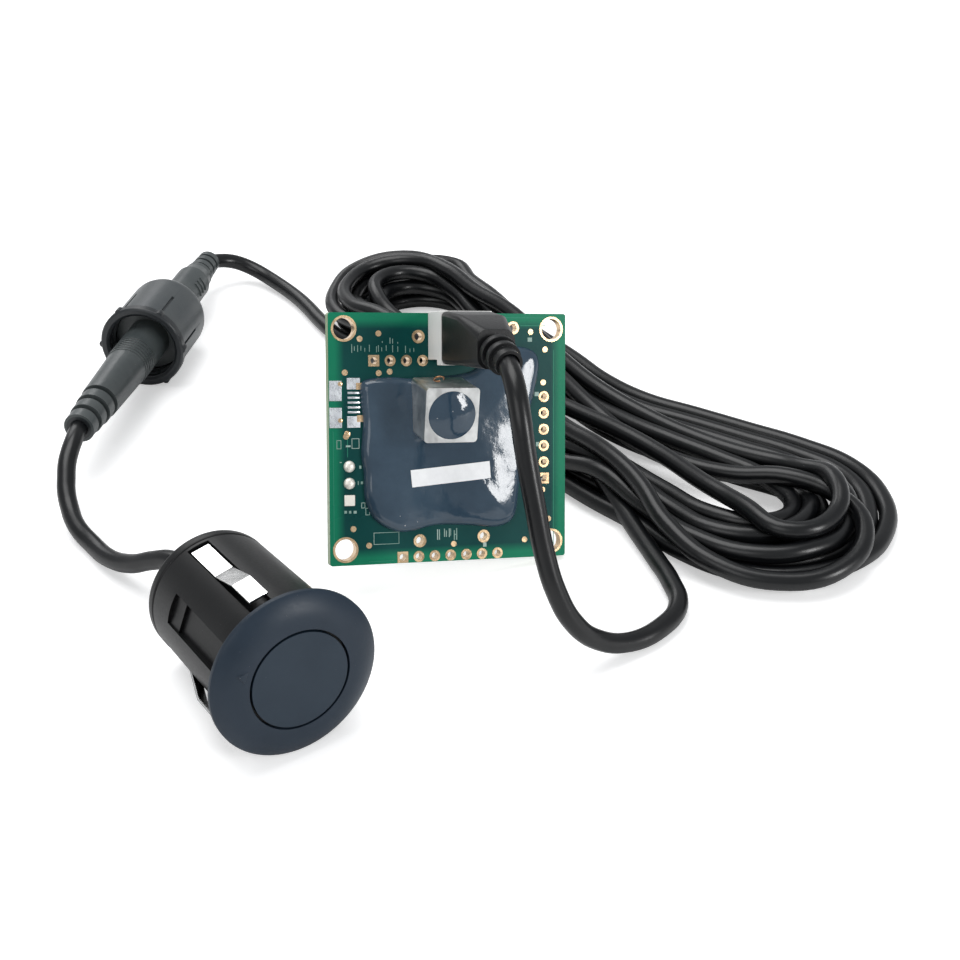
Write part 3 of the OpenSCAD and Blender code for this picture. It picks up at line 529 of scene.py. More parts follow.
class Workshop:
    def __init__(self) -> None:
        """Build the shared effects and every finish."""
        effects = Effects()
        finishes = [
            Plastic("face_grey", (0.0115, 0.0215, 0.0355), (0.0145, 0.0255, 0.041), (0.34, 0.5),
                    depth=0.01, dust=0.035),
            Plastic("membrane_grey", (0.0125, 0.0245, 0.0395), (0.0155, 0.0285, 0.0445),
                    (0.3, 0.44), depth=0.006, dust=0.04),
            Plastic("housing_black", (0.0035, 0.0038, 0.0042), (0.005, 0.0053, 0.0057), (0.3, 0.46),
                    depth=0.008, dust=0.035),
            Plastic("silicone_black", (0.008, 0.009, 0.01), (0.011, 0.012, 0.013), (0.4, 0.55)),
            Plastic("piezo_ceramic", (0.6, 0.56, 0.47), (0.52, 0.48, 0.4), (0.3, 0.5)),
            Plastic("damping_foam", (0.3, 0.26, 0.18), (0.24, 0.2, 0.14), (0.7, 0.9)),
            Plastic("wire_red", (0.42, 0.02, 0.015), (0.34, 0.015, 0.012), (0.35, 0.5)),
            Plastic("sealing_compound", (0.07, 0.07, 0.062), (0.05, 0.05, 0.045), (0.5, 0.7)),
            Plastic("gland_rubber", (0.012, 0.012, 0.013), (0.016, 0.016, 0.017), (0.42, 0.56)),
            # Painted shade darkens the connector's bore near its axis.
            TurnedPlastic(CONNECTOR_PLACE, Plastic(
                "connector_grey", (0.045, 0.054, 0.056), (0.07, 0.08, 0.08), (0.27, 0.42),
                depth=0.012, specular=0.5), painted_shade_below_radius=2.16),
            # Painted shade darkens the nut's mouth ring, where it lies in shade.
            TurnedPlastic(CONNECTOR_PLACE, Plastic(
                "nut_grey", (0.05, 0.058, 0.062), (0.064, 0.072, 0.074), (0.27, 0.42),
                depth=0.012, specular=0.5), painted_shade_from=-1.6, thread_radius=6.35),
            Plastic("seal_red", (0.28, 0.03, 0.02), (0.22, 0.025, 0.018), (0.4, 0.55)),
            Plastic("washer_white", (0.62, 0.62, 0.58), (0.56, 0.56, 0.52), (0.4, 0.55)),
            Plastic("cable_black", (0.003, 0.0035, 0.0042), (0.0045, 0.005, 0.0058), (0.25, 0.36),
                    scale=900.0, depth=0.01, dust=0.04, specular=0.42),
            Plastic("plug_black", (0.0055, 0.006, 0.0065), (0.008, 0.0085, 0.009), (0.3, 0.44),
                    depth=0.012),
            Plastic("header_white", (0.84, 0.84, 0.82), (0.78, 0.78, 0.75), (0.34, 0.48),
                    depth=0.006, dust=0.02),
            Plastic("chip_black", (0.012, 0.012, 0.013), (0.016, 0.016, 0.017), (0.5, 0.65)),
            Plastic("chip_ceramic", (0.32, 0.22, 0.13), (0.27, 0.19, 0.11), (0.45, 0.6)),
            Plastic("ferrite_black", (0.02, 0.02, 0.022), (0.028, 0.028, 0.03), (0.45, 0.6)),
            Metal("clip_steel", (0.95, 0.95, 0.94), (0.72, 0.72, 0.71), (0.14, 0.26),
                  scale=300.0, depth=0.0015, stretch=16.0),
            Metal("contact_brass", (0.72, 0.5, 0.2), (0.66, 0.45, 0.18), (0.2, 0.35)),
            Metal("tin", (0.82, 0.85, 0.88), (0.7, 0.73, 0.77), (0.22, 0.4),
                  scale=900.0, depth=0.003, stretch=2.0, metallic=0.85),
            Metal("pad_gold", (0.82, 0.6, 0.37), (0.76, 0.53, 0.31), (0.2, 0.36),
                  scale=700.0, depth=0.002, stretch=2.0),
            Metal("solder", (0.97, 0.93, 0.85), (0.92, 0.87, 0.78), (0.34, 0.5),
                  scale=700.0, depth=0.002, stretch=1.5, metallic=0.5),
            Metal("can_metal", (0.78, 0.79, 0.78), (0.62, 0.63, 0.62), (0.28, 0.44),
                  scale=420.0, depth=0.0025, stretch=3.0),
            Metal("copper", (0.36, 0.19, 0.1), (0.28, 0.14, 0.07), (0.3, 0.45)),
            CastResin(),
            SolderMask(BOARD_PLACE, side=37.8, thick=1.6),
            Plastic("label_white", (0.9, 0.91, 0.92), (0.84, 0.85, 0.86), (0.42, 0.6),
                    scale=5200.0, depth=0.01, dust=0.0, specular=0.5, cloud_scale=700.0),
            Plastic("marking_ink", (0.4, 0.52, 0.47), (0.2, 0.34, 0.29), (0.5, 0.7), dust=0.0),
        ]
        self.finishes = {item.name: item.sketch(effects).material for item in finishes}

    def dress(self, piece: bpy.types.Object, slot: str) -> None:
        """Give a piece one finish.

        Args:
            piece: A mesh or curve object.
            slot: The finish's name.
        """
        piece.data.materials.clear()
        piece.data.materials.append(self.finishes[slot])

    def dress_frame(self) -> None:
        """Give each carried-over CAD node the finish of its own slot."""
        for entry in frame["record"]["subparts"]:
            self.dress(NODES[entry["node"]], entry["material_slot"])


def add_object(name: str, data: bpy.types.ID) -> bpy.types.Object:
    """Put a new object into the scene.

    Args:
        name: The object's name.
        data: Its mesh, curve, light or camera.

    Returns:
        The object.
    """
    item = bpy.data.objects.new(name, data)
    bpy.context.scene.collection.objects.link(item)
    return item


@dataclass
class Cable:
    """A free cable that follows points of its centreline."""

    name: str
    points: list[Point]
    diameter: float = 3.0

    def build(self) -> bpy.types.Object:
        """Build the cable as one open spline.

        Returns:
            The cable's object.
        """
        data = bpy.data.curves.new(self.name, "CURVE")
        data.dimensions = "3D"
        data.bevel_depth = self.diameter / 2 * MM
        data.bevel_resolution = 4
        data.resolution_u = 6
        data.use_fill_caps = True
        spline = data.splines.new("BEZIER")
        spline.bezier_points.add(len(self.points) - 1)
        for knot, point in zip(spline.bezier_points, self.points):
            knot.co = Vector(point) * MM
            knot.handle_left_type = knot.handle_right_type = "AUTO"
        return add_object(self.name, data)


@dataclass
class Turn:
    """One turn of the hank: how far in and how high it lies at each of the hank's keys."""

    inset: tuple[float, ...]
    height: tuple[float, ...]


@dataclass
class Hank:
    """The loosely wound turns of the extension cable, laid on guides and then settled.

    The stations of a turn run from the near left tangent past the waist, round the right bend,
    back past the waist and round the left bend, and those in between lie halfway. The keys are
    the stations whose inset and height each turn gives. A bend is its middle in plan and its
    outer radius.
    """

    bends: tuple[Point, ...] = ((4.24, 94.26, 17.0), (32.74, 54.76, 16.0), (63.24, 27.76, 21.7))
    diameter: float = 3.0
    margin: float = 1.6
    stations: int = 20
    right_at: int = 4
    left_at: int = 14
    bend_steps: int = 6
    spacing: float = 2.5
    rounds: int = 160
    pairs_every: int = 8
    pushes: int = 3
    pull: Pair = (0.03, 0.02)
    sink: float = 0.015
    stiffness: float = 0.4
    straighten: float = 0.5
    tightest: float = 12.0
    near_along: float = 4.0
    near_across: float = 2.0
    clearance: float = 0.06
    push: float = 1.3
    floor: float = 1.8
    keys: tuple[int, ...] = (0, 2, 3, 4, 5, 6, 7, 8, 9, 10, 11, 12, 14, 15, 16, 17, 18, 19)
    turns: tuple[Turn, ...] = (
        Turn((0,) * 18, (1.6,) * 18),
        Turn((3.1,) * 18, (1.6,) * 18),
        Turn((6.2,) * 18, (1.6,) * 18),
        Turn((1.5, 1.5, 1.5, 1.5, 2, 3, 5, 6.5, 8, 9.5, 9.6, 9.3, 4.6, 4.6, 4.6, 4.6, 4.6, 4.6),
             (4.4,) * 8 + (3.4, 1.6, 1.6, 1.6) + (4.4,) * 6),
        Turn((9.3,) * 5 + (9.5, 10, 11, 12, 13, 13, 11.5) + (6.1,) * 6,
             (3.2, 1.8) + (1.6,) * 9 + (2.4, 6.6) + (6.8,) * 5),
        Turn((4.6, 4.6, 4.6, 4.9, 6.5, 8.5, 10.5, 12.5, 14, 14.5, 14.5, 12, 6.4, 6, 6, 6, 6, 6.4),
             (4.6,) + (4.4,) * 5 + (4.0, 3.6, 3.0, 1.8, 1.8, 3.6) + (7.0,) * 6),
        Turn((6.8, 7.4, 7.6, 8.4, 9.5, 11, 12, 13, 14.5, 15, 15, 11, 2, -3.6, -3, -1, 1, 2),
             (6.6,) + (4.4,) * 7 + (4.2, 3.6, 3.4, 5.2, 6.5, 7.2, 7.2, 6.5, 6, 6)),
        Turn((3, 4.6, 3, -1, -2.4, -2.4, 1.5, 8, 14, 18.5, 19.5, 12,
              6.6, 4.2, -0.2, -3.6, -2.5, -1),
             (7, 6.6, 6, 4.4, 2.6, 2.6, 4.4, 4.8, 4.8, 4.8, 4.8, 5.4, 8.5, 9.5, 9, 7.6, 6, 5.5)),
        Turn((0.2, 11.5, 13.5, 10.5, 5.5, 3, 5.6, 8.5, 11, 12.5, 12, 8.5,
              7.6, 5.6, 2.6, -0.4, 1, 2),
             (7.2, 6.8, 6.4, 6.4, 5.4, 5.2, 5.6, 5.6, 5, 5, 5, 7, 8.5, 9, 9, 7.4, 6, 5.5)),
    )

    def _station(self, index: int, inset: float) -> Pair:
        """Return the plan position of a station, moved in from the outer centreline.

        Args:
            index: The station from 0, at the near left tangent.
            inset: How far inside the outer centreline.

        Returns:
            Its x and y.
        """
        left, waist, right = self.bends
        first = math.atan2(waist[1] - left[1], waist[0] - left[0])
        last = math.atan2(right[1] - waist[1], right[0] - waist[0])
        across = (first + last) / 2
        quarter = math.pi / 2

        def at(bend: Point, angle: float) -> np.ndarray:
            """Return a point on a bend's circle."""
            reach = bend[2] - self.margin - inset
            return np.array([bend[0] + reach * math.cos(angle), bend[1] + reach * math.sin(angle)])

        spots = {0: (left, first - quarter), 2: (waist, across - quarter),
                 12: (waist, across + quarter)}
        for step in range(self.bend_steps + 1):
            angle = step * math.pi / self.bend_steps
            spots[self.right_at + step] = (right, last - quarter + angle)
            spots[self.left_at + step] = (left, first + quarter + angle)
        near = (index,) if index in spots else (index - 1, index + 1)
        return tuple(sum(at(*spots[each]) for each in near) / len(near))

    def guide(self) -> list[Point]:
        """Lay the guide points of all turns in order.

        Returns:
            The points, in millimetres.
        """
        points: list[Point] = []
        keys = [*self.keys, self.stations]
        for turn, after in zip(self.turns, (*self.turns[1:], self.turns[-1])):
            insets = [*turn.inset, after.inset[0]]
            heights = [*turn.height, after.height[0]]
            for index in range(self.stations):
                inset = float(np.interp(index, keys, insets))
                height = float(np.interp(index, keys, heights))
                points.append((*self._station(index, inset), height))
        return points

    def settle(self, path: np.ndarray, held: np.ndarray) -> np.ndarray:
        """Let the cable sink and push its turns apart until none passes through another.

        Args:
            path: Points of the centreline at an even spacing, in millimetres.
            held: A weight from 0 to 1 for each point, 0 where it may not move.

        Returns:
            The settled points.
        """
        here = path.copy()
        skip = int(self.near_along * self.diameter / self.spacing)
        free = held[:, None]
        slack = self.spacing**2 / (2 * self.tightest)
        still = np.zeros_like(here)
        still[1:-1, :2] = ((path[:-2] + path[2:]) / 2 - path[1:-1])[:, :2]
        for step in range(self.rounds):
            if step % self.pairs_every == 0:
                gap = np.linalg.norm(here[:, None] - here[None], axis=2)
                near = np.argwhere(gap < self.near_across * self.diameter)
                near = near[near[:, 1] - near[:, 0] > skip]
                pairs_a, pairs_b = near[:, 0], near[:, 1]
            here[:, :2] += self.pull[0] * (path[:, :2] - here[:, :2]) * free
            here[:, 2:] += (self.pull[1] * (path[:, 2:] - here[:, 2:]) - self.sink) * free
            bend = np.zeros_like(here)
            bend[1:-1] = (here[:-2] + here[2:]) / 2 - here[1:-1]
            here += self.stiffness * (bend - still) * free
            tight = np.maximum(np.linalg.norm(bend, axis=1, keepdims=True), TINY)
            here += self.straighten * bend * np.clip(1 - slack / tight, 0, 1) * free
            for _ in range(self.pushes):
                offset = here[pairs_a] - here[pairs_b]
                apart = np.maximum(np.linalg.norm(offset, axis=1), TINY)
                push = np.maximum(self.diameter + self.clearance - apart, 0)[:, None]
                shift = offset / apart[:, None] * push / 2
                moved = np.zeros_like(here)
                touched = np.zeros((len(here), 1))
                for side, way in ((pairs_a, 1), (pairs_b, -1)):
                    np.add.at(moved, side, way * shift)
                    np.add.at(touched, side, (push > 0).astype(float))
                here += moved / np.maximum(touched, 1) * self.push * free
                here[:, 2] = np.maximum(here[:, 2], self.floor)
        return here


def catmull(points: list[Point], spacing: float, fineness: int = 24) -> np.ndarray:
    """Lay points at an even spacing along a smooth line through the given ones.

    Args:
        points: The line's own points.
        spacing: The distance between the new points.
        fineness: Steps between two of the line's own points.

    Returns:
        The new points.
    """
    p = np.array(points, float)
    p = np.vstack([2 * p[0] - p[1], p, 2 * p[-1] - p[-2]])
    t = np.linspace(0, 1, fineness, endpoint=False)[:, None]
    line = np.vstack([
        *(0.5 * (2 * b + (c - a) * t + (2 * a - 5 * b + 4 * c - d) * t * t
                 + (3 * b - a - 3 * c + d) * t**3)
          for a, b, c, d in zip(p, p[1:], p[2:], p[3:])), p[-2]])
    along = np.concatenate([[0], np.cumsum(np.linalg.norm(np.diff(line, axis=0), axis=1))])
    stops = np.linspace(0, along[-1], int(along[-1] / spacing) + 1)
    return np.stack([np.interp(stops, along, line[:, k]) for k in range(3)], 1)


@dataclass
class Leads:
    """The short sensor lead and the long extension cable."""

    shop: Workshop
    hank: Hank = field(default_factory=Hank)
    shift: Point = (0.26, 5.24, 0.0)
    lead: tuple[Point, ...] = (
        (-21.9, -0.2, 9.4), (-23.5, 2.1, 9.1), (-25.7, 5.1, 8.8), (-28.8, 8.2, 8.2),
        (-32.2, 10.6, 6.4), (-36.2, 13.2, 3.9), (-40.4, 16.8, 2.2), (-44.5, 21.8, 1.6),
        (-47.7, 25.7, 2.3), (-49.5, 29.4, 3.4), (-50.4, 32, 4.8), (-50.7, 34, 6),
        (-50.9, 36.2, 7.3), (-50.8, 38.4, 8.3), (-50.6, 40.8, 9), (-50.5, 44.9, 9.2),
        (-50, 47.9, 9.1),
    )
    run: tuple[Point, ...] = (
        (-40.5, 113.2, 6.5), (-40.1, 115.4, 6.4), (-39.2, 117.3, 6.2), (-37.9, 118.7, 5.8),
        (-36.3, 119.7, 5.3), (-34.6, 120.2, 4.7), (-32.7, 120.3, 3.9), (-30.6, 119.7, 3.1),
        (-28.4, 118.4, 2.4), (-25.8, 115.8, 2.0), (-22.7, 112, 1.8), (-20, 108, 1.75),
        (-17.7, 103.9, 1.75), (-15.2, 99, 1.75), (-12, 93.4, 1.9), (-7.2, 88.4, 2.6),
    )
    loop: tuple[Point, ...] = (
        (37.2, 38.2, 3.6), (39.7, 31, 2.8), (42.2, 24, 2.1), (44.4, 17.4, 1.8), (46.1, 11.6, 1.75),
        (46.6, 5.6, 1.75), (43.4, 0.2, 1.8), (38.4, -3.6, 2.2), (33.7, -6, 4.6), (30, -7.6, 9),
        (27.5, -7.2, 14), (25.8, -5.6, 19.4), (24.5, -3.4, 25.5), (23.1, -0.4, 32.6),
        (22.4, 1.8, 37.0), (21.7, 4.7, 39.9), (20.9, 8.0, 41.0), (20.1, 10.9, 40.8),
    )
    way_out: tuple[Point, ...] = ((-4.2, 88.7, 7.5), (2.8, 80.7, 8.5), (11.3, 69.7, 8.8),
                                  (19.8, 59.2, 7.5), (26.8, 52.2, 5.6), (32.2, 46.3, 4.2))
    grip: Pair = (12.0, 25.0)
    fade: float = 30.0
    thin: int = 4

    def _row(self, points: tuple[Point, ...]) -> list[Point]:
        return [(x - self.shift[0], y - self.shift[1], z) for x, y, z in points]

    def _extension_points(self) -> list[Point]:
        """Join the extension's run, its settled turns and its front loop.

        Returns:
            The whole cable's points.
        """
        run, loop = self._row(self.run), self._row(self.loop)
        coil = self.hank.guide() + self._row(self.way_out)
        path = catmull(run + coil + loop, self.hank.spacing)
        along = np.arange(len(path)) * self.hank.spacing
        start, end = len(catmull(run, 1.0)), len(catmull(loop, 1.0))
        before, after = self.grip
        held = np.clip(np.minimum(
            along - start + before, along[-1] - end - along + after) / self.fade, 0, 1)
        settled = [tuple(point) for point in self.hank.settle(path, held)[:: self.thin]]
        step = self.thin * self.hank.spacing
        return run[:-1] + settled[int(start / step):-int(end / step)] + loop

    def _lay(self, cable: Cable, stands_for: tuple[str, ...]) -> None:
        """Args:
            cable: The cable.
            stands_for: Nodes that it replaces.
        """
        piece = cable.build()
        length = piece.data.splines[0].calc_length()
        self.shop.dress(piece, "cable_black")
        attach(piece, Body.KIT.value)
        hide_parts(*stands_for)
        LOG.info("%s: %.0f mm", cable.name, length / MM)

    def build(self) -> None:
        """Build both cables."""
        self._lay(
            Cable("sensor_lead_cable", self._row(self.lead)), ("sensor_lead",))
        self._lay(
            Cable("extension_cable", self._extension_points()),
            ("extension_run", "extension_hank", "extension_loop"))


def turn_verts(bm: Shape, verts: list[bmesh.types.BMVert], degrees: float, axis: str) -> None:
    """Turn vertices about one of the axes through the origin."""
    bmesh.ops.rotate(bm, cent=(0, 0, 0), verts=verts,
                     matrix=Matrix.Rotation(math.radians(degrees), 3, axis))


def only_verts(geometry: list) -> list[bmesh.types.BMVert]:
    """Return the vertices among an operator's results."""
    return [item for item in geometry if isinstance(item, bmesh.types.BMVert)]


def round_edges(piece: bpy.types.Object, width: float, segments: int, angle: float = 30.0) -> None:
    """Round a piece's edges with a live modifier.

    Args:
        piece: The piece.
        width: The rounding's width in millimetres.
        segments: How many faces it has across.
        angle: Only edges that turn by more degrees than this are rounded.
    """
    bevel = piece.modifiers.new("rounded_edges", "BEVEL")
    bevel.width = width * MM
    bevel.segments = segments
    bevel.limit_method = "ANGLE"
    bevel.angle_limit = math.radians(angle)


class Bench:
    """Turns a finished bmesh into a dressed piece that rides on a body."""

    def __init__(self, shop: Workshop) -> None:
        """Keep the finishes at hand."""
        self.shop = shop

    def lay(
        self, bm: Shape, name: str, slot: str, place: Placement | None = None,
        body: Body = Body.KIT, stands_for: tuple[str, ...] = (), sharp: float = 40.0,
        finish: str = "",
    ) -> bpy.types.Object:
        """Args:
            bm: The shape. It is freed.
            name: The piece's name.
            slot: The record's material slot, whose finish it takes.
            body: The body that it moves with.
            stands_for: Nodes that it replaces.
            sharp: Edges steeper than this many degrees stay sharp.
            finish: The finish where it isn't the slot's own.

        Returns:
            The new piece.
        """
        if place is not None:
            turn = place.matrix() @ Matrix.Scale(MM, 4)
            bmesh.ops.transform(bm, matrix=turn, verts=bm.verts[:])
            bmesh.ops.recalc_face_normals(bm, faces=bm.faces[:])
        mesh = bpy.data.meshes.new(name)
        bm.to_mesh(mesh)
        bm.free()
        mesh.shade_smooth()
        if sharp < 180:
            mesh.set_sharp_from_angle(angle=math.radians(sharp))
        piece = add_object(name, mesh)
        self.shop.dress(piece, finish or slot)
        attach(piece, body.value)
        if stands_for:
            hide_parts(*stands_for)
        LOG.info("%s: %d faces on %s", name, len(mesh.polygons), body.value)
        return piece


@dataclass(frozen=True)
class Softened:
    """A rigid node that shows, remade with the small rounded edges of a moulding or casting."""

    node: str
    slot: str
    width: float
    body: Body = Body.KIT
    angle: float = 30.0
    merge: float = 0.002
    flat_within: float = 0.4

    def build(self, bench: Bench) -> None:
        """Copy the node's mesh, merge it and round its edges.

        Args:
            bench: What dresses and places the piece.
        """
        bm = bmesh.new()
        bm.from_mesh(NODES[self.node].data)
        bmesh.ops.remove_doubles(bm, verts=bm.verts[:], dist=self.merge * MM)
        bmesh.ops.dissolve_limit(bm, angle_limit=math.radians(self.flat_within),
                                 verts=bm.verts[:], edges=bm.edges[:])
        piece = bench.lay(bm, self.node + "_moulded", self.slot, body=self.body,
                          stands_for=(self.node,), sharp=180.0)
        round_edges(piece, self.width, segments=2, angle=self.angle)
        even = piece.modifiers.new("even_normals", "WEIGHTED_NORMAL")
        even.keep_sharp = True


SOFTENED = (
    *(Softened("spring_" + body.value, "clip_steel", 0.07, body, angle=12.0)
      for body in (Body.CLIP_1, Body.CLIP_2, Body.CLIP_3)),
    Softened("transformer_can", "can_metal", 0.22),
    Softened("header_shell", "header_white", 0.12),
    Softened("cable_plug", "plug_black", 0.22),
    Softened("coupling_nut", "nut_grey", 0.14, Body.NUT),
    Softened("connector_front", "connector_grey", 0.05),
    Softened("rear_cap", "housing_black", 0.12),
    Softened("flange_ring", "face_grey", 0.1),
    Softened("footprint_pads", "tin", 0.04),
)


@dataclass
class ResinPool:
    """The cast resin over the chips: a low pillow with a wandering rim, in the board's frame."""

    outline: tuple[Pair, ...] = (
        (-13.7, 8.7), (-9.5, 9.3), (-5.5, 9.1), (1.5, 9.7), (4.4, 10.7), (5.6, 13.2), (8.5, 14),
        (12.9, 13.5), (14.4, 11.5), (13.7, 7.1), (12.7, 3.2), (12.3, 1.1), (11.6, -3.2),
        (11.1, -7.9), (10.3, -12.4), (7.5, -13.9), (2.6, -13.5), (-2.4, -13.3), (-6.4, -14.1),
        (-9.1, -13.9), (-12.1, -12), (-13.5, -8.8), (-13.6, -5.4), (-14, -2), (-13.7, 2.2),
        (-14, 6.1),
    )
    outline_step: float = 0.55
    centre: Pair = (-0.5, -1.0)
    edge_height: float = 1.2
    dome_height: float = 0.85
    rim: float = 1.1
    dome: float = 9.0
    rings: int = 30
    inmost: float = 0.985
    crowding: float = 1.8
    sunk: float = 0.04
    can_box: Box = (-6.3, 0.1, 1.4, 9.0)
    creep: Pair = (0.3, 0.5)
    sway: tuple[Point, ...] = ((0.16, 0.16, 3.1), (0.03, 0.5, 8.7))
    label_corners: tuple[Pair, ...] = (
        (-6.66, -7.24), (5.89, -6.15), (5.66, -3.56), (-6.89, -4.65))
    label_cells: tuple[int, int] = (24, 6)
    label_gap: float = 0.015
    label_thick: float = 0.09

    def rim_points(self) -> np.ndarray:
        """Round the outline to an even run of points.

        Returns:
            The rim's plan positions.
        """
        closed = [(x, y, 0.0) for x, y in self.outline]
        run = catmull([closed[-1], *closed, closed[0], closed[1]], self.outline_step)[:, :2]
        away = np.linalg.norm(run - closed[0][:2], axis=1)
        half = len(run) // 2
        return run[int(np.argmin(away[:half])):half + int(np.argmin(away[half:]))]

    def heights(self, spots: np.ndarray) -> np.ndarray:
        """Return the surface's height over the board at each spot.

        Args:
            spots: Plan positions inside the outline.

        Returns:
            One height for each spot.
        """
        start = self.rim_points()
        way = np.roll(start, -1, axis=0) - start
        offset = spots[:, None] - start[None]
        along = np.clip((offset * way).sum(2) / (way * way).sum(1), 0, 1)
        inward = np.linalg.norm(offset - along[..., None] * way[None], axis=2).min(1)
        edge = np.minimum(inward / self.rim, 1)
        dome = np.minimum(inward / self.dome, 1)
        x0, y0, x1, y1 = self.can_box
        gap = np.hypot(
            np.maximum(np.maximum(x0 - spots[:, 0], spots[:, 0] - x1), 0),
            np.maximum(np.maximum(y0 - spots[:, 1], spots[:, 1] - y1), 0))
        sway = np.array([
            sum(size * noise.noise(Vector((x * scale, y * scale, seed)))
                for size, scale, seed in self.sway) for x, y in spots])
        climb, reach = self.creep
        return (self.edge_height * np.sqrt(1 - (1 - edge) ** 2)
                + self.dome_height * (1 - (1 - dome) ** 2)
                + climb * np.exp(-gap / reach) * edge + sway * edge - self.sunk)

    def build(self, bench: Bench) -> None:
        """Grow the pool ring by ring from its rim, then lay the label on it.

        Args:
            bench: What dresses and places the piece.
        """
        rim = self.rim_points()
        bm = bmesh.new()
        bmesh.ops.create_circle(bm, segments=len(rim), radius=1.0)
        bm.verts.ensure_lookup_table()
        for vert, spot in zip(bm.verts, rim):
            vert.co.xy = spot
        edges = bm.edges[:]
        middle = Matrix.Translation((-self.centre[0], -self.centre[1], 0))
        last = 1.0
        for step in range(1, self.rings + 1):
            share = 1 - self.inmost * (step / self.rings) ** self.crowding
            grown = bmesh.ops.extrude_edge_only(bm, edges=edges)["geom"]
            verts = set(only_verts(grown))
            edges = [item for item in grown
                     if isinstance(item, bmesh.types.BMEdge) and set(item.verts) <= verts]
            bmesh.ops.scale(
                bm, vec=(share / last, share / last, 1), space=middle, verts=list(verts))
            last = share
        bmesh.ops.holes_fill(bm, edges=edges)
        self._drape(bm, 0.0)
        for vert in bm.verts:
            vert.co.z = max(vert.co.z, 0.0)
        bench.lay(bm, "resin_pool", "potting_resin", BOARD_PLACE,
                  stands_for=("potting_resin",), sharp=180.0)
        self._label(bench)

    def _drape(self, bm: Shape, gap: float) -> None:
        """Lift a flat mesh to the pool's surface.

        Args:
            bm: The mesh, with its plan in the board's frame.
            gap: How far it lies above the surface.
        """
        plan = np.array([vert.co.xy for vert in bm.verts])
        for vert, height in zip(bm.verts, self.heights(plan)):
            vert.co.z = float(height) + gap

    def _label(self, bench: Bench) -> None:
        """Lay the bare label over the pool's surface.

        Args:
            bench: What dresses and places the piece.
        """
        bm = bmesh.new()
        cells_x, cells_y = self.label_cells
        bmesh.ops.create_grid(bm, x_segments=cells_x, y_segments=cells_y, size=0.5)
        a, b, _, d = (Vector(corner) for corner in self.label_corners)
        for vert in bm.verts:
            vert.co.xy = a + (b - a) * (vert.co.x + 0.5) + (d - a) * (vert.co.y + 0.5)
        self._drape(bm, self.label_gap)
        lifted = bmesh.ops.extrude_face_region(bm, geom=bm.faces[:])["geom"]
        bmesh.ops.translate(bm, vec=(0, 0, self.label_thick), verts=only_verts(lifted))
        bench.lay(bm, "label_on_resin", "label_white", BOARD_PLACE, stands_for=("board_label",))


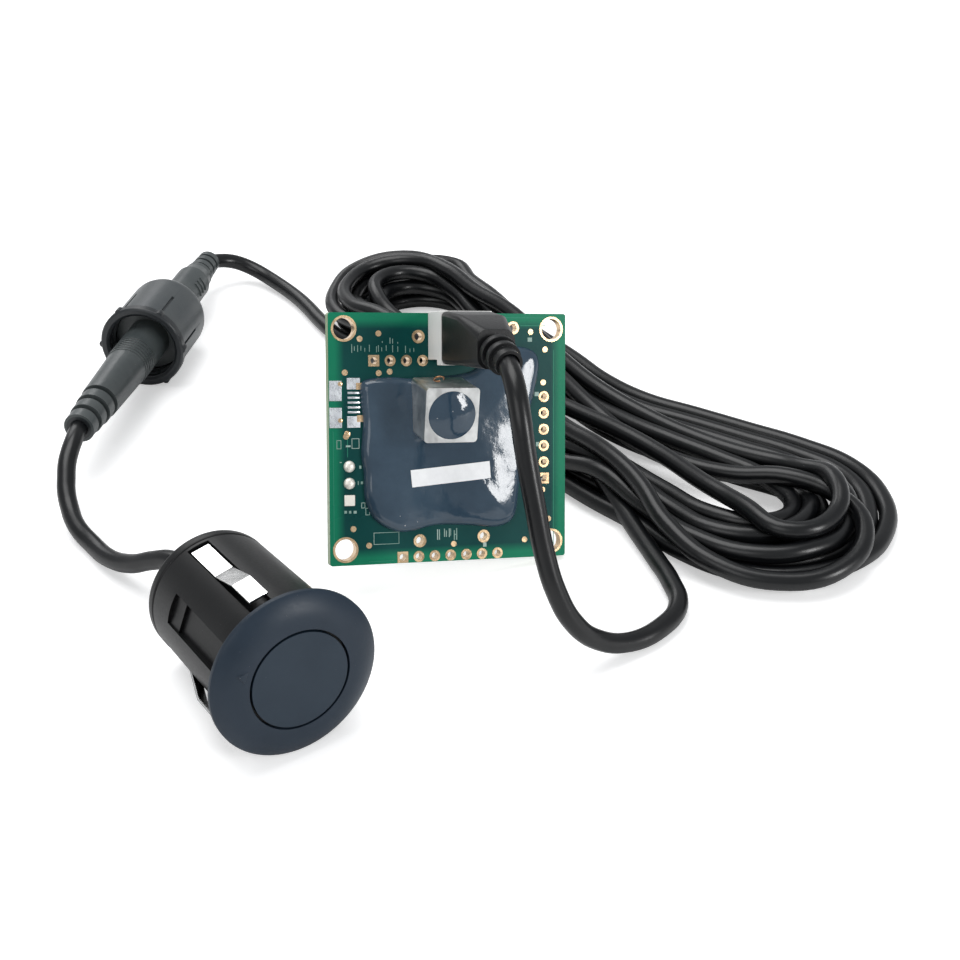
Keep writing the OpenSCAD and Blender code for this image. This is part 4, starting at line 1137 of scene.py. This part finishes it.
@dataclass
class BoardMarks:
    """The printed marks, small pads and solder on the board, in the board's frame."""

    ink: float = 0.03
    tick_width: float = 0.1
    frame_width: float = 0.08
    ticks: tuple[Point, ...] = (
        (-15.3, 13.56, 1.29), (-14.9, 13.56, .65), (-14.4, 13.56, .97), (-13.9, 13.6, .73),
        (-13.3, 13.35, .57), (-12.6, 13.59, 1.05), (-11.5, 13.43, .89), (-11.2, 13.55, .97),
        (-10.7, 13.43, .57), (-10.0, 13.63, .81), (-9.0, 13.51, 1.06), (-8.2, 13.47, .81),
        (-7.0, 13.43, 1.06), (-6.3, 13.27, .57), (-5.7, 13.35, .57), (-10.6, 14.53, .26),
        (-9.4, 14.73, .89), (-9.0, 14.65, .73), (-8.2, 14.41, .24))
    patches: tuple[Box, ...] = (
        (-16.33, -1.08, -15.62, -0.83), (-17.3, -3.42, -16.99, -3.28),
        (-14.3, -4.36, -13.99, -3.89), (-14.56, -6.78, -14.42, -6.2),
        (-14.08, -6.69, -13.75, -6.28), (-16.66, -11.02, -16.27, -10.61),
        (-15.95, -11.04, -15.6, -10.64), (-15.24, -11.07, -14.77, -10.66),
        (-2.16, -15.56, -2.0, -13.97), (-1.84, -15.56, -1.72, -13.97), (-1.04, -15.18, -0.9, -13.9),
        (-0.74, -15.18, -0.6, -14.2), (-0.28, -15.21, -0.12, -13.9), (-0.02, -15.0, 0.07, -13.9),
        (0.53, -15.68, 0.67, -14.2), (0.9, -15.68, 1.06, -13.9), (0.53, -14.9, 1.06, -14.78),
        (13.79, 6.19, 14.49, 6.84), (14.03, -1.61, 14.5, -0.95), (12.63, 14.59, 13.33, 15.23),
        (5.27, -16.96, 5.82, -16.29))
    outlines: tuple[Box, ...] = (
        (-17.74, -1.35, -17.04, -0.04), (-15.44, -1.34, -14.27, 0.19),
        (-12.16, -15.91, -8.18, -14.09), (-14.04, -10.31, -13.45, -9.47),
        (-13.4, -11.38, -12.74, -10.31))
    tracks: tuple[Box, ...] = (
        (16.9, -18.1, 17.0, 13.3), (-16.13, -2.6, -16.03, 0.4), (11.4, 17.0, 15.6, 17.1),
        (7.6, 18.2, 15.6, 18.3), (-18.3, -16.3, -18.2, 1.3), (-12.9, -18.5, -9.0, -18.42))
    tinned_squares: tuple[Pair, ...] = ((-14.2, 7.97), (-14.1, 3.15))
    dots: tuple[Point, ...] = (
        (-17.14, 8.32, 0.42), (-17.15, 2.9, 0.42), (-16.08, 0.84, 0.5), (-13.1, -3.34, 0.22))
    solder_spots: tuple[Pair, ...] = ((-15.84, -4.0), (-15.84, -6.54))
    square_spot: Pair = (-15.84, -9.08)
    joints: tuple[Pair, ...] = ((-1.45, 15.05), (0.55, 15.05), (2.55, 15.05))
    board: float = 1.6
    track_height: float = 0.02
    dot_height: float = 0.11
    dome: Pair = (1.75, 0.62)
    underside: Pair = (1.6, -0.7)
    joint: Point = (1.6, -0.95, 0.5)
    square: Pair = (1.64, 0.2)
    tinned: Point = (1.0, 0.18, 0.1)
    tinned_core: Pair = (0.64, 0.08)

    @staticmethod
    def _slab(bm: Shape, box: Box, high: float) -> None:
        """Add a thin rectangular patch that stands on the board.

        Args:
            bm: The mesh that gets it.
            box: Its least x and y, then its greatest.
            high: How thick it is.
        """
        x0, y0, x1, y1 = box
        base = bmesh.ops.create_grid(bm, x_segments=1, y_segments=1, size=0.5)["verts"]
        bmesh.ops.scale(bm, vec=(x1 - x0, y1 - y0, 1), verts=base)
        bmesh.ops.translate(bm, vec=((x0 + x1) / 2, (y0 + y1) / 2, 0), verts=base)
        grown = bmesh.ops.extrude_face_region(
            bm, geom=list({f for v in base for f in v.link_faces}), use_keep_orig=True)["geom"]
        top = only_verts(grown)
        bmesh.ops.translate(bm, vec=(0, 0, high), verts=top)
        for vert in base + top:
            vert.tag = True

    def _patch(self, bm: Shape, spot: Pair, size: Pair, high: float) -> None:
        """Add a thin patch of a width and depth round a spot."""
        (x, y), (wide, deep) = spot, size
        self._slab(bm, (x - wide / 2, y - deep / 2, x + wide / 2, y + deep / 2), high)

    def _frame(self, bm: Shape, box: Box, line: float, high: float) -> None:
        """Add a rectangle's outline as four thin patches.

        Args:
            bm: The mesh that gets it.
            box: Its least x and y, then its greatest.
            line: The outline's width.
            high: How thick it is.
        """
        x0, y0, x1, y1 = box
        for side in ((x0, y0, x1, y0 + line), (x0, y1 - line, x1, y1),
                     (x0, y0 + line, x0 + line, y1 - line), (x1 - line, y0 + line, x1, y1 - line)):
            self._slab(bm, side, high)

    @staticmethod
    def _blob(bm: Shape, spot: Pair, wide: float, high: float, base: float = 0.0,
              tip: float = 0.0) -> None:
        """Add a rounded blob of solder, with its profile spun round.

        Args:
            bm: The mesh that gets it.
            spot: Its plan position.
            wide: Its diameter.
            high: Its height, negative to hang from the board.
            base: The height that it starts at.
            tip: The share of its height that rises to a point round a pin.
        """
        steps, around = 8, 28
        profile = [
            bm.verts.new((wide / 2 * math.cos(a), 0, high * ((1 - tip) * math.sin(a)
                                                             + tip * math.sin(a) ** 4)))
            for a in (math.pi / 2 * i / steps for i in range(steps + 1))]
        edges = [bm.edges.new(pair) for pair in zip(profile, profile[1:])]
        bmesh.ops.spin(
            bm, geom=profile + edges, cent=(0, 0, 0), axis=(0, 0, 1), angle=math.tau,
            steps=around, use_merge=True)
        bmesh.ops.remove_doubles(bm, verts=[v for v in bm.verts if not v.tag], dist=1e-4)
        fresh = [v for v in bm.verts if not v.tag]
        bmesh.ops.translate(bm, vec=(*spot, base), verts=fresh)
        for vert in fresh:
            vert.tag = True

    def build(self, bench: Bench) -> None:
        """Build the marks, tracks, pads and solder.

        Args:
            bench: What dresses and places the pieces.
        """
        ink, tracks, gold, solder, square = (bmesh.new() for _ in range(5))
        for x, y, tall in self.ticks:
            self._patch(ink, (x, y), (self.tick_width, tall), self.ink)
        for box in self.patches:
            self._slab(ink, box, self.ink)
        for box in self.outlines:
            self._frame(ink, box, self.frame_width, self.ink)
        bench.lay(ink, "printed_marks", "label_white", BOARD_PLACE, finish="marking_ink")
        for box in self.tracks:
            self._slab(tracks, box, self.track_height)
        bench.lay(tracks, "copper_tracks", "board_green", BOARD_PLACE)
        side, line, high = self.tinned
        core, core_high = self.tinned_core
        for x, y in self.tinned_squares:
            self._frame(gold, (x - side / 2, y - side / 2, x + side / 2, y + side / 2), line, high)
            self._patch(gold, (x, y), (core, core), core_high)
        for x, y, reach in self.dots:
            self._blob(gold, (x, y), reach * 2, self.dot_height)
        bench.lay(gold, "small_pads", "pad_gold", BOARD_PLACE)
        for spot in self.solder_spots:
            self._blob(solder, spot, *self.dome)
            self._blob(solder, spot, *self.underside, -self.board)
        self._blob(solder, self.square_spot, *self.underside, -self.board)
        wide, high, tip = self.joint
        for spot in self.joints:
            self._blob(solder, spot, wide, high, -self.board, tip)
        bench.lay(solder, "solder_domes", "solder", BOARD_PLACE, stands_for=("solder_fills",))
        side, high = self.square
        self._patch(square, self.square_spot, (side, side), high)
        piece = bench.lay(square, "solder_square", "solder", BOARD_PLACE)
        round_edges(piece, width=0.12, segments=3)


@dataclass
class SmallParts:
    """The tinned loop on the transformer and the grip ribs on the rear connector half."""

    loop_at: Point = (-4.6, 9.1, 9.0)
    loop_radius: float = 0.75
    loop_turn: float = 300.0
    loop_tilt: float = 62.0
    wire: float = 0.12
    rib_z: tuple[float, ...] = (-25.2, -26.7, -28.2)
    rib_size: Pair = (0.36, 0.6)
    rib_lift: float = 0.1
    rib_turn: float = 20.0
    rib_reach: float = 46.0
    body_radius: float = 3.5

    def build(self, bench: Bench) -> None:
        """Build both.

        Args:
            bench: What dresses and places the pieces.
        """
        self._loop(bench)
        self._ribs(bench)

    def _loop(self, bench: Bench) -> None:
        """Spin a round wire through most of a turn.

        Args:
            bench: What dresses and places the piece.
        """
        loop = bmesh.new()
        ring = bmesh.ops.create_circle(loop, segments=12, radius=self.wire)["verts"]
        turn_verts(loop, ring, 90, "X")
        bmesh.ops.translate(loop, vec=(self.loop_radius, 0, 0), verts=ring)
        bmesh.ops.spin(loop, geom=loop.verts[:] + loop.edges[:], cent=(0, 0, 0), axis=(0, 0, 1),
                       angle=math.radians(self.loop_turn), steps=32)
        turn_verts(loop, loop.verts[:], self.loop_tilt, "X")
        bmesh.ops.translate(loop, vec=self.loop_at, verts=loop.verts[:])
        bmesh.ops.holes_fill(loop, edges=[e for e in loop.edges if e.is_boundary])
        bench.lay(loop, "winding_end", "copper", BOARD_PLACE)

    def _ribs(self, bench: Bench) -> None:
        """Spin each rib's section over its share of the round body.

        Args:
            bench: What dresses and places the piece.
        """
        ribs = bmesh.new()
        for z in self.rib_z:
            section = bmesh.ops.create_grid(ribs, x_segments=1, y_segments=1, size=0.5)["verts"]
            bmesh.ops.scale(ribs, vec=(*self.rib_size, 1), verts=section)
            turn_verts(ribs, section, 90, "X")
            bmesh.ops.translate(ribs, vec=(self.body_radius + self.rib_lift, 0, z), verts=section)
            turn_verts(ribs, section, self.rib_turn - self.rib_reach / 2, "Z")
            rest = {part for vert in section for part in (*vert.link_edges, *vert.link_faces)}
            bmesh.ops.spin(ribs, geom=section + list(rest), cent=(0, 0, 0), axis=(0, 0, 1),
                           angle=math.radians(self.rib_reach), steps=14)
        piece = bench.lay(ribs, "rear_grip_ribs", "connector_grey", CONNECTOR_PLACE)
        round_edges(piece, width=0.1, segments=2)


@dataclass(frozen=True)
class Softbox:
    """A rectangular soft light, with its places and sides in metres and its power in watts."""

    name: str
    place: Point
    aim: Point
    size: Pair
    power: float

    def build(self) -> None:
        """Build the light and point it at its aim."""
        data = bpy.data.lights.new(self.name, "AREA")
        data.shape = "RECTANGLE"
        data.size, data.size_y = self.size
        data.energy = self.power
        lamp = add_object(self.name, data)
        lamp.location = self.place
        away = Vector(self.aim) - Vector(self.place)
        lamp.rotation_euler = away.to_track_quat("-Z", "Y").to_euler()


@dataclass
class Studio:
    """The floor, the soft lights and the camera at the photograph's place."""

    eye: Point = (16.74, -177.24, 139.4)
    tilt: float = 57.0
    lens: float = 56.25
    sensor: float = 36.0
    floor_side: float = 6.0
    floor_glow: float = 0.42
    seen_level: Pair = (0.0, 0.6)
    light_level: Pair = (0.4, 0.45)
    lights: tuple[Softbox, ...] = (
        Softbox("top_softbox", (-0.1, 0.16, 0.72), (0.02, 0.02, 0.0), (0.6, 0.5), 3.6),
        Softbox("right_softbox", (0.53, -0.31, 0.23), (0.02, 0.01, 0.02), (0.12, 0.26), 1.7),
        Softbox("front_fill", (-0.35, -0.6, 0.5), (0.0, 0.0, 0.01), (0.5, 0.4), 1.2),
        Softbox("back_softbox", (-0.37, 0.73, 0.48), (0.0, 0.0, 0.02), (0.5, 0.3), 1.2),
    )

    def build(self) -> None:
        """Build the stage, the lights and the camera."""
        scene = bpy.context.scene
        scene.view_settings.view_transform = "Standard"
        self._camera(scene)
        self._floor()
        self._world(scene)
        for light in self.lights:
            light.build()

    def _camera(self, scene: bpy.types.Scene) -> None:
        """Build the camera and make it the scene's own.

        Args:
            scene: The scene that gets it.
        """
        data = bpy.data.cameras.new("photo_camera")
        data.lens = self.lens
        data.sensor_width = self.sensor
        data.clip_start = 0.005
        camera = add_object("photo_camera", data)
        camera.location = Vector(self.eye) * MM
        camera.rotation_euler = (math.radians(self.tilt), 0, 0)
        scene.camera = camera

    def _floor(self) -> None:
        """Build the pale floor, which shows white to the camera and keeps the shadows."""
        bm = bmesh.new()
        bmesh.ops.create_grid(bm, x_segments=2, y_segments=2, size=self.floor_side / 2)
        mesh = bpy.data.meshes.new("studio_floor")
        bm.to_mesh(mesh)
        bm.free()
        art = Sketch("studio_floor")
        art.set(Base_Color=(0.9, 0.9, 0.9, 1.0), Roughness=0.6, Specular_IOR_Level=0.2)
        path = art.node("LightPath")
        glow = art.node("Emission", Strength=self.floor_glow)
        plain = art.node("BsdfTransparent", Color=(0, 0, 0, 1))
        pick, total = art.node("MixShader"), art.node("AddShader")
        result = next(n for n in art.tree.nodes if n.type == "OUTPUT_MATERIAL")
        for node, key, source in (
                (pick, 0, path.outputs["Is Camera Ray"]), (pick, 1, plain.outputs[0]),
                (pick, 2, glow.outputs[0]), (total, 0, art.shader.outputs[0]),
                (total, 1, pick.outputs[0]), (result, "Surface", total.outputs[0])):
            art.put(node, key, source)
        mesh.materials.append(art.material)
        add_object("studio_floor", mesh)

    def _world(self, scene: bpy.types.Scene) -> None:
        """Build an even surround that shows white to the camera alone.

        Args:
            scene: The scene that gets it.
        """
        world = bpy.data.worlds.new("studio_surround")
        world.use_nodes = True
        art = Graph(world.node_tree)
        back = next(n for n in art.tree.nodes if n.type == "BACKGROUND")
        path = art.node("LightPath")
        seen = art.spread(path.outputs["Is Camera Ray"], *self.seen_level)
        shine = art.spread(path.outputs["Is Glossy Ray"], *self.light_level)
        art.put(back, "Color", (0.95, 0.97, 1.0, 1))
        art.put(back, "Strength", art.calc("ADD", seen, shine))
        scene.world = world


def main() -> None:
    """Build the stage, the finishes, the rigid pieces and then both cables."""
    logging.basicConfig(level=logging.INFO, format="%(message)s")
    Studio().build()
    shop = Workshop()
    shop.dress_frame()
    bench = Bench(shop)
    for part in (*SOFTENED, ResinPool(), BoardMarks(), SmallParts()):
        part.build(bench)
    Leads(shop).build()


if __name__ == "__main__":
    main()
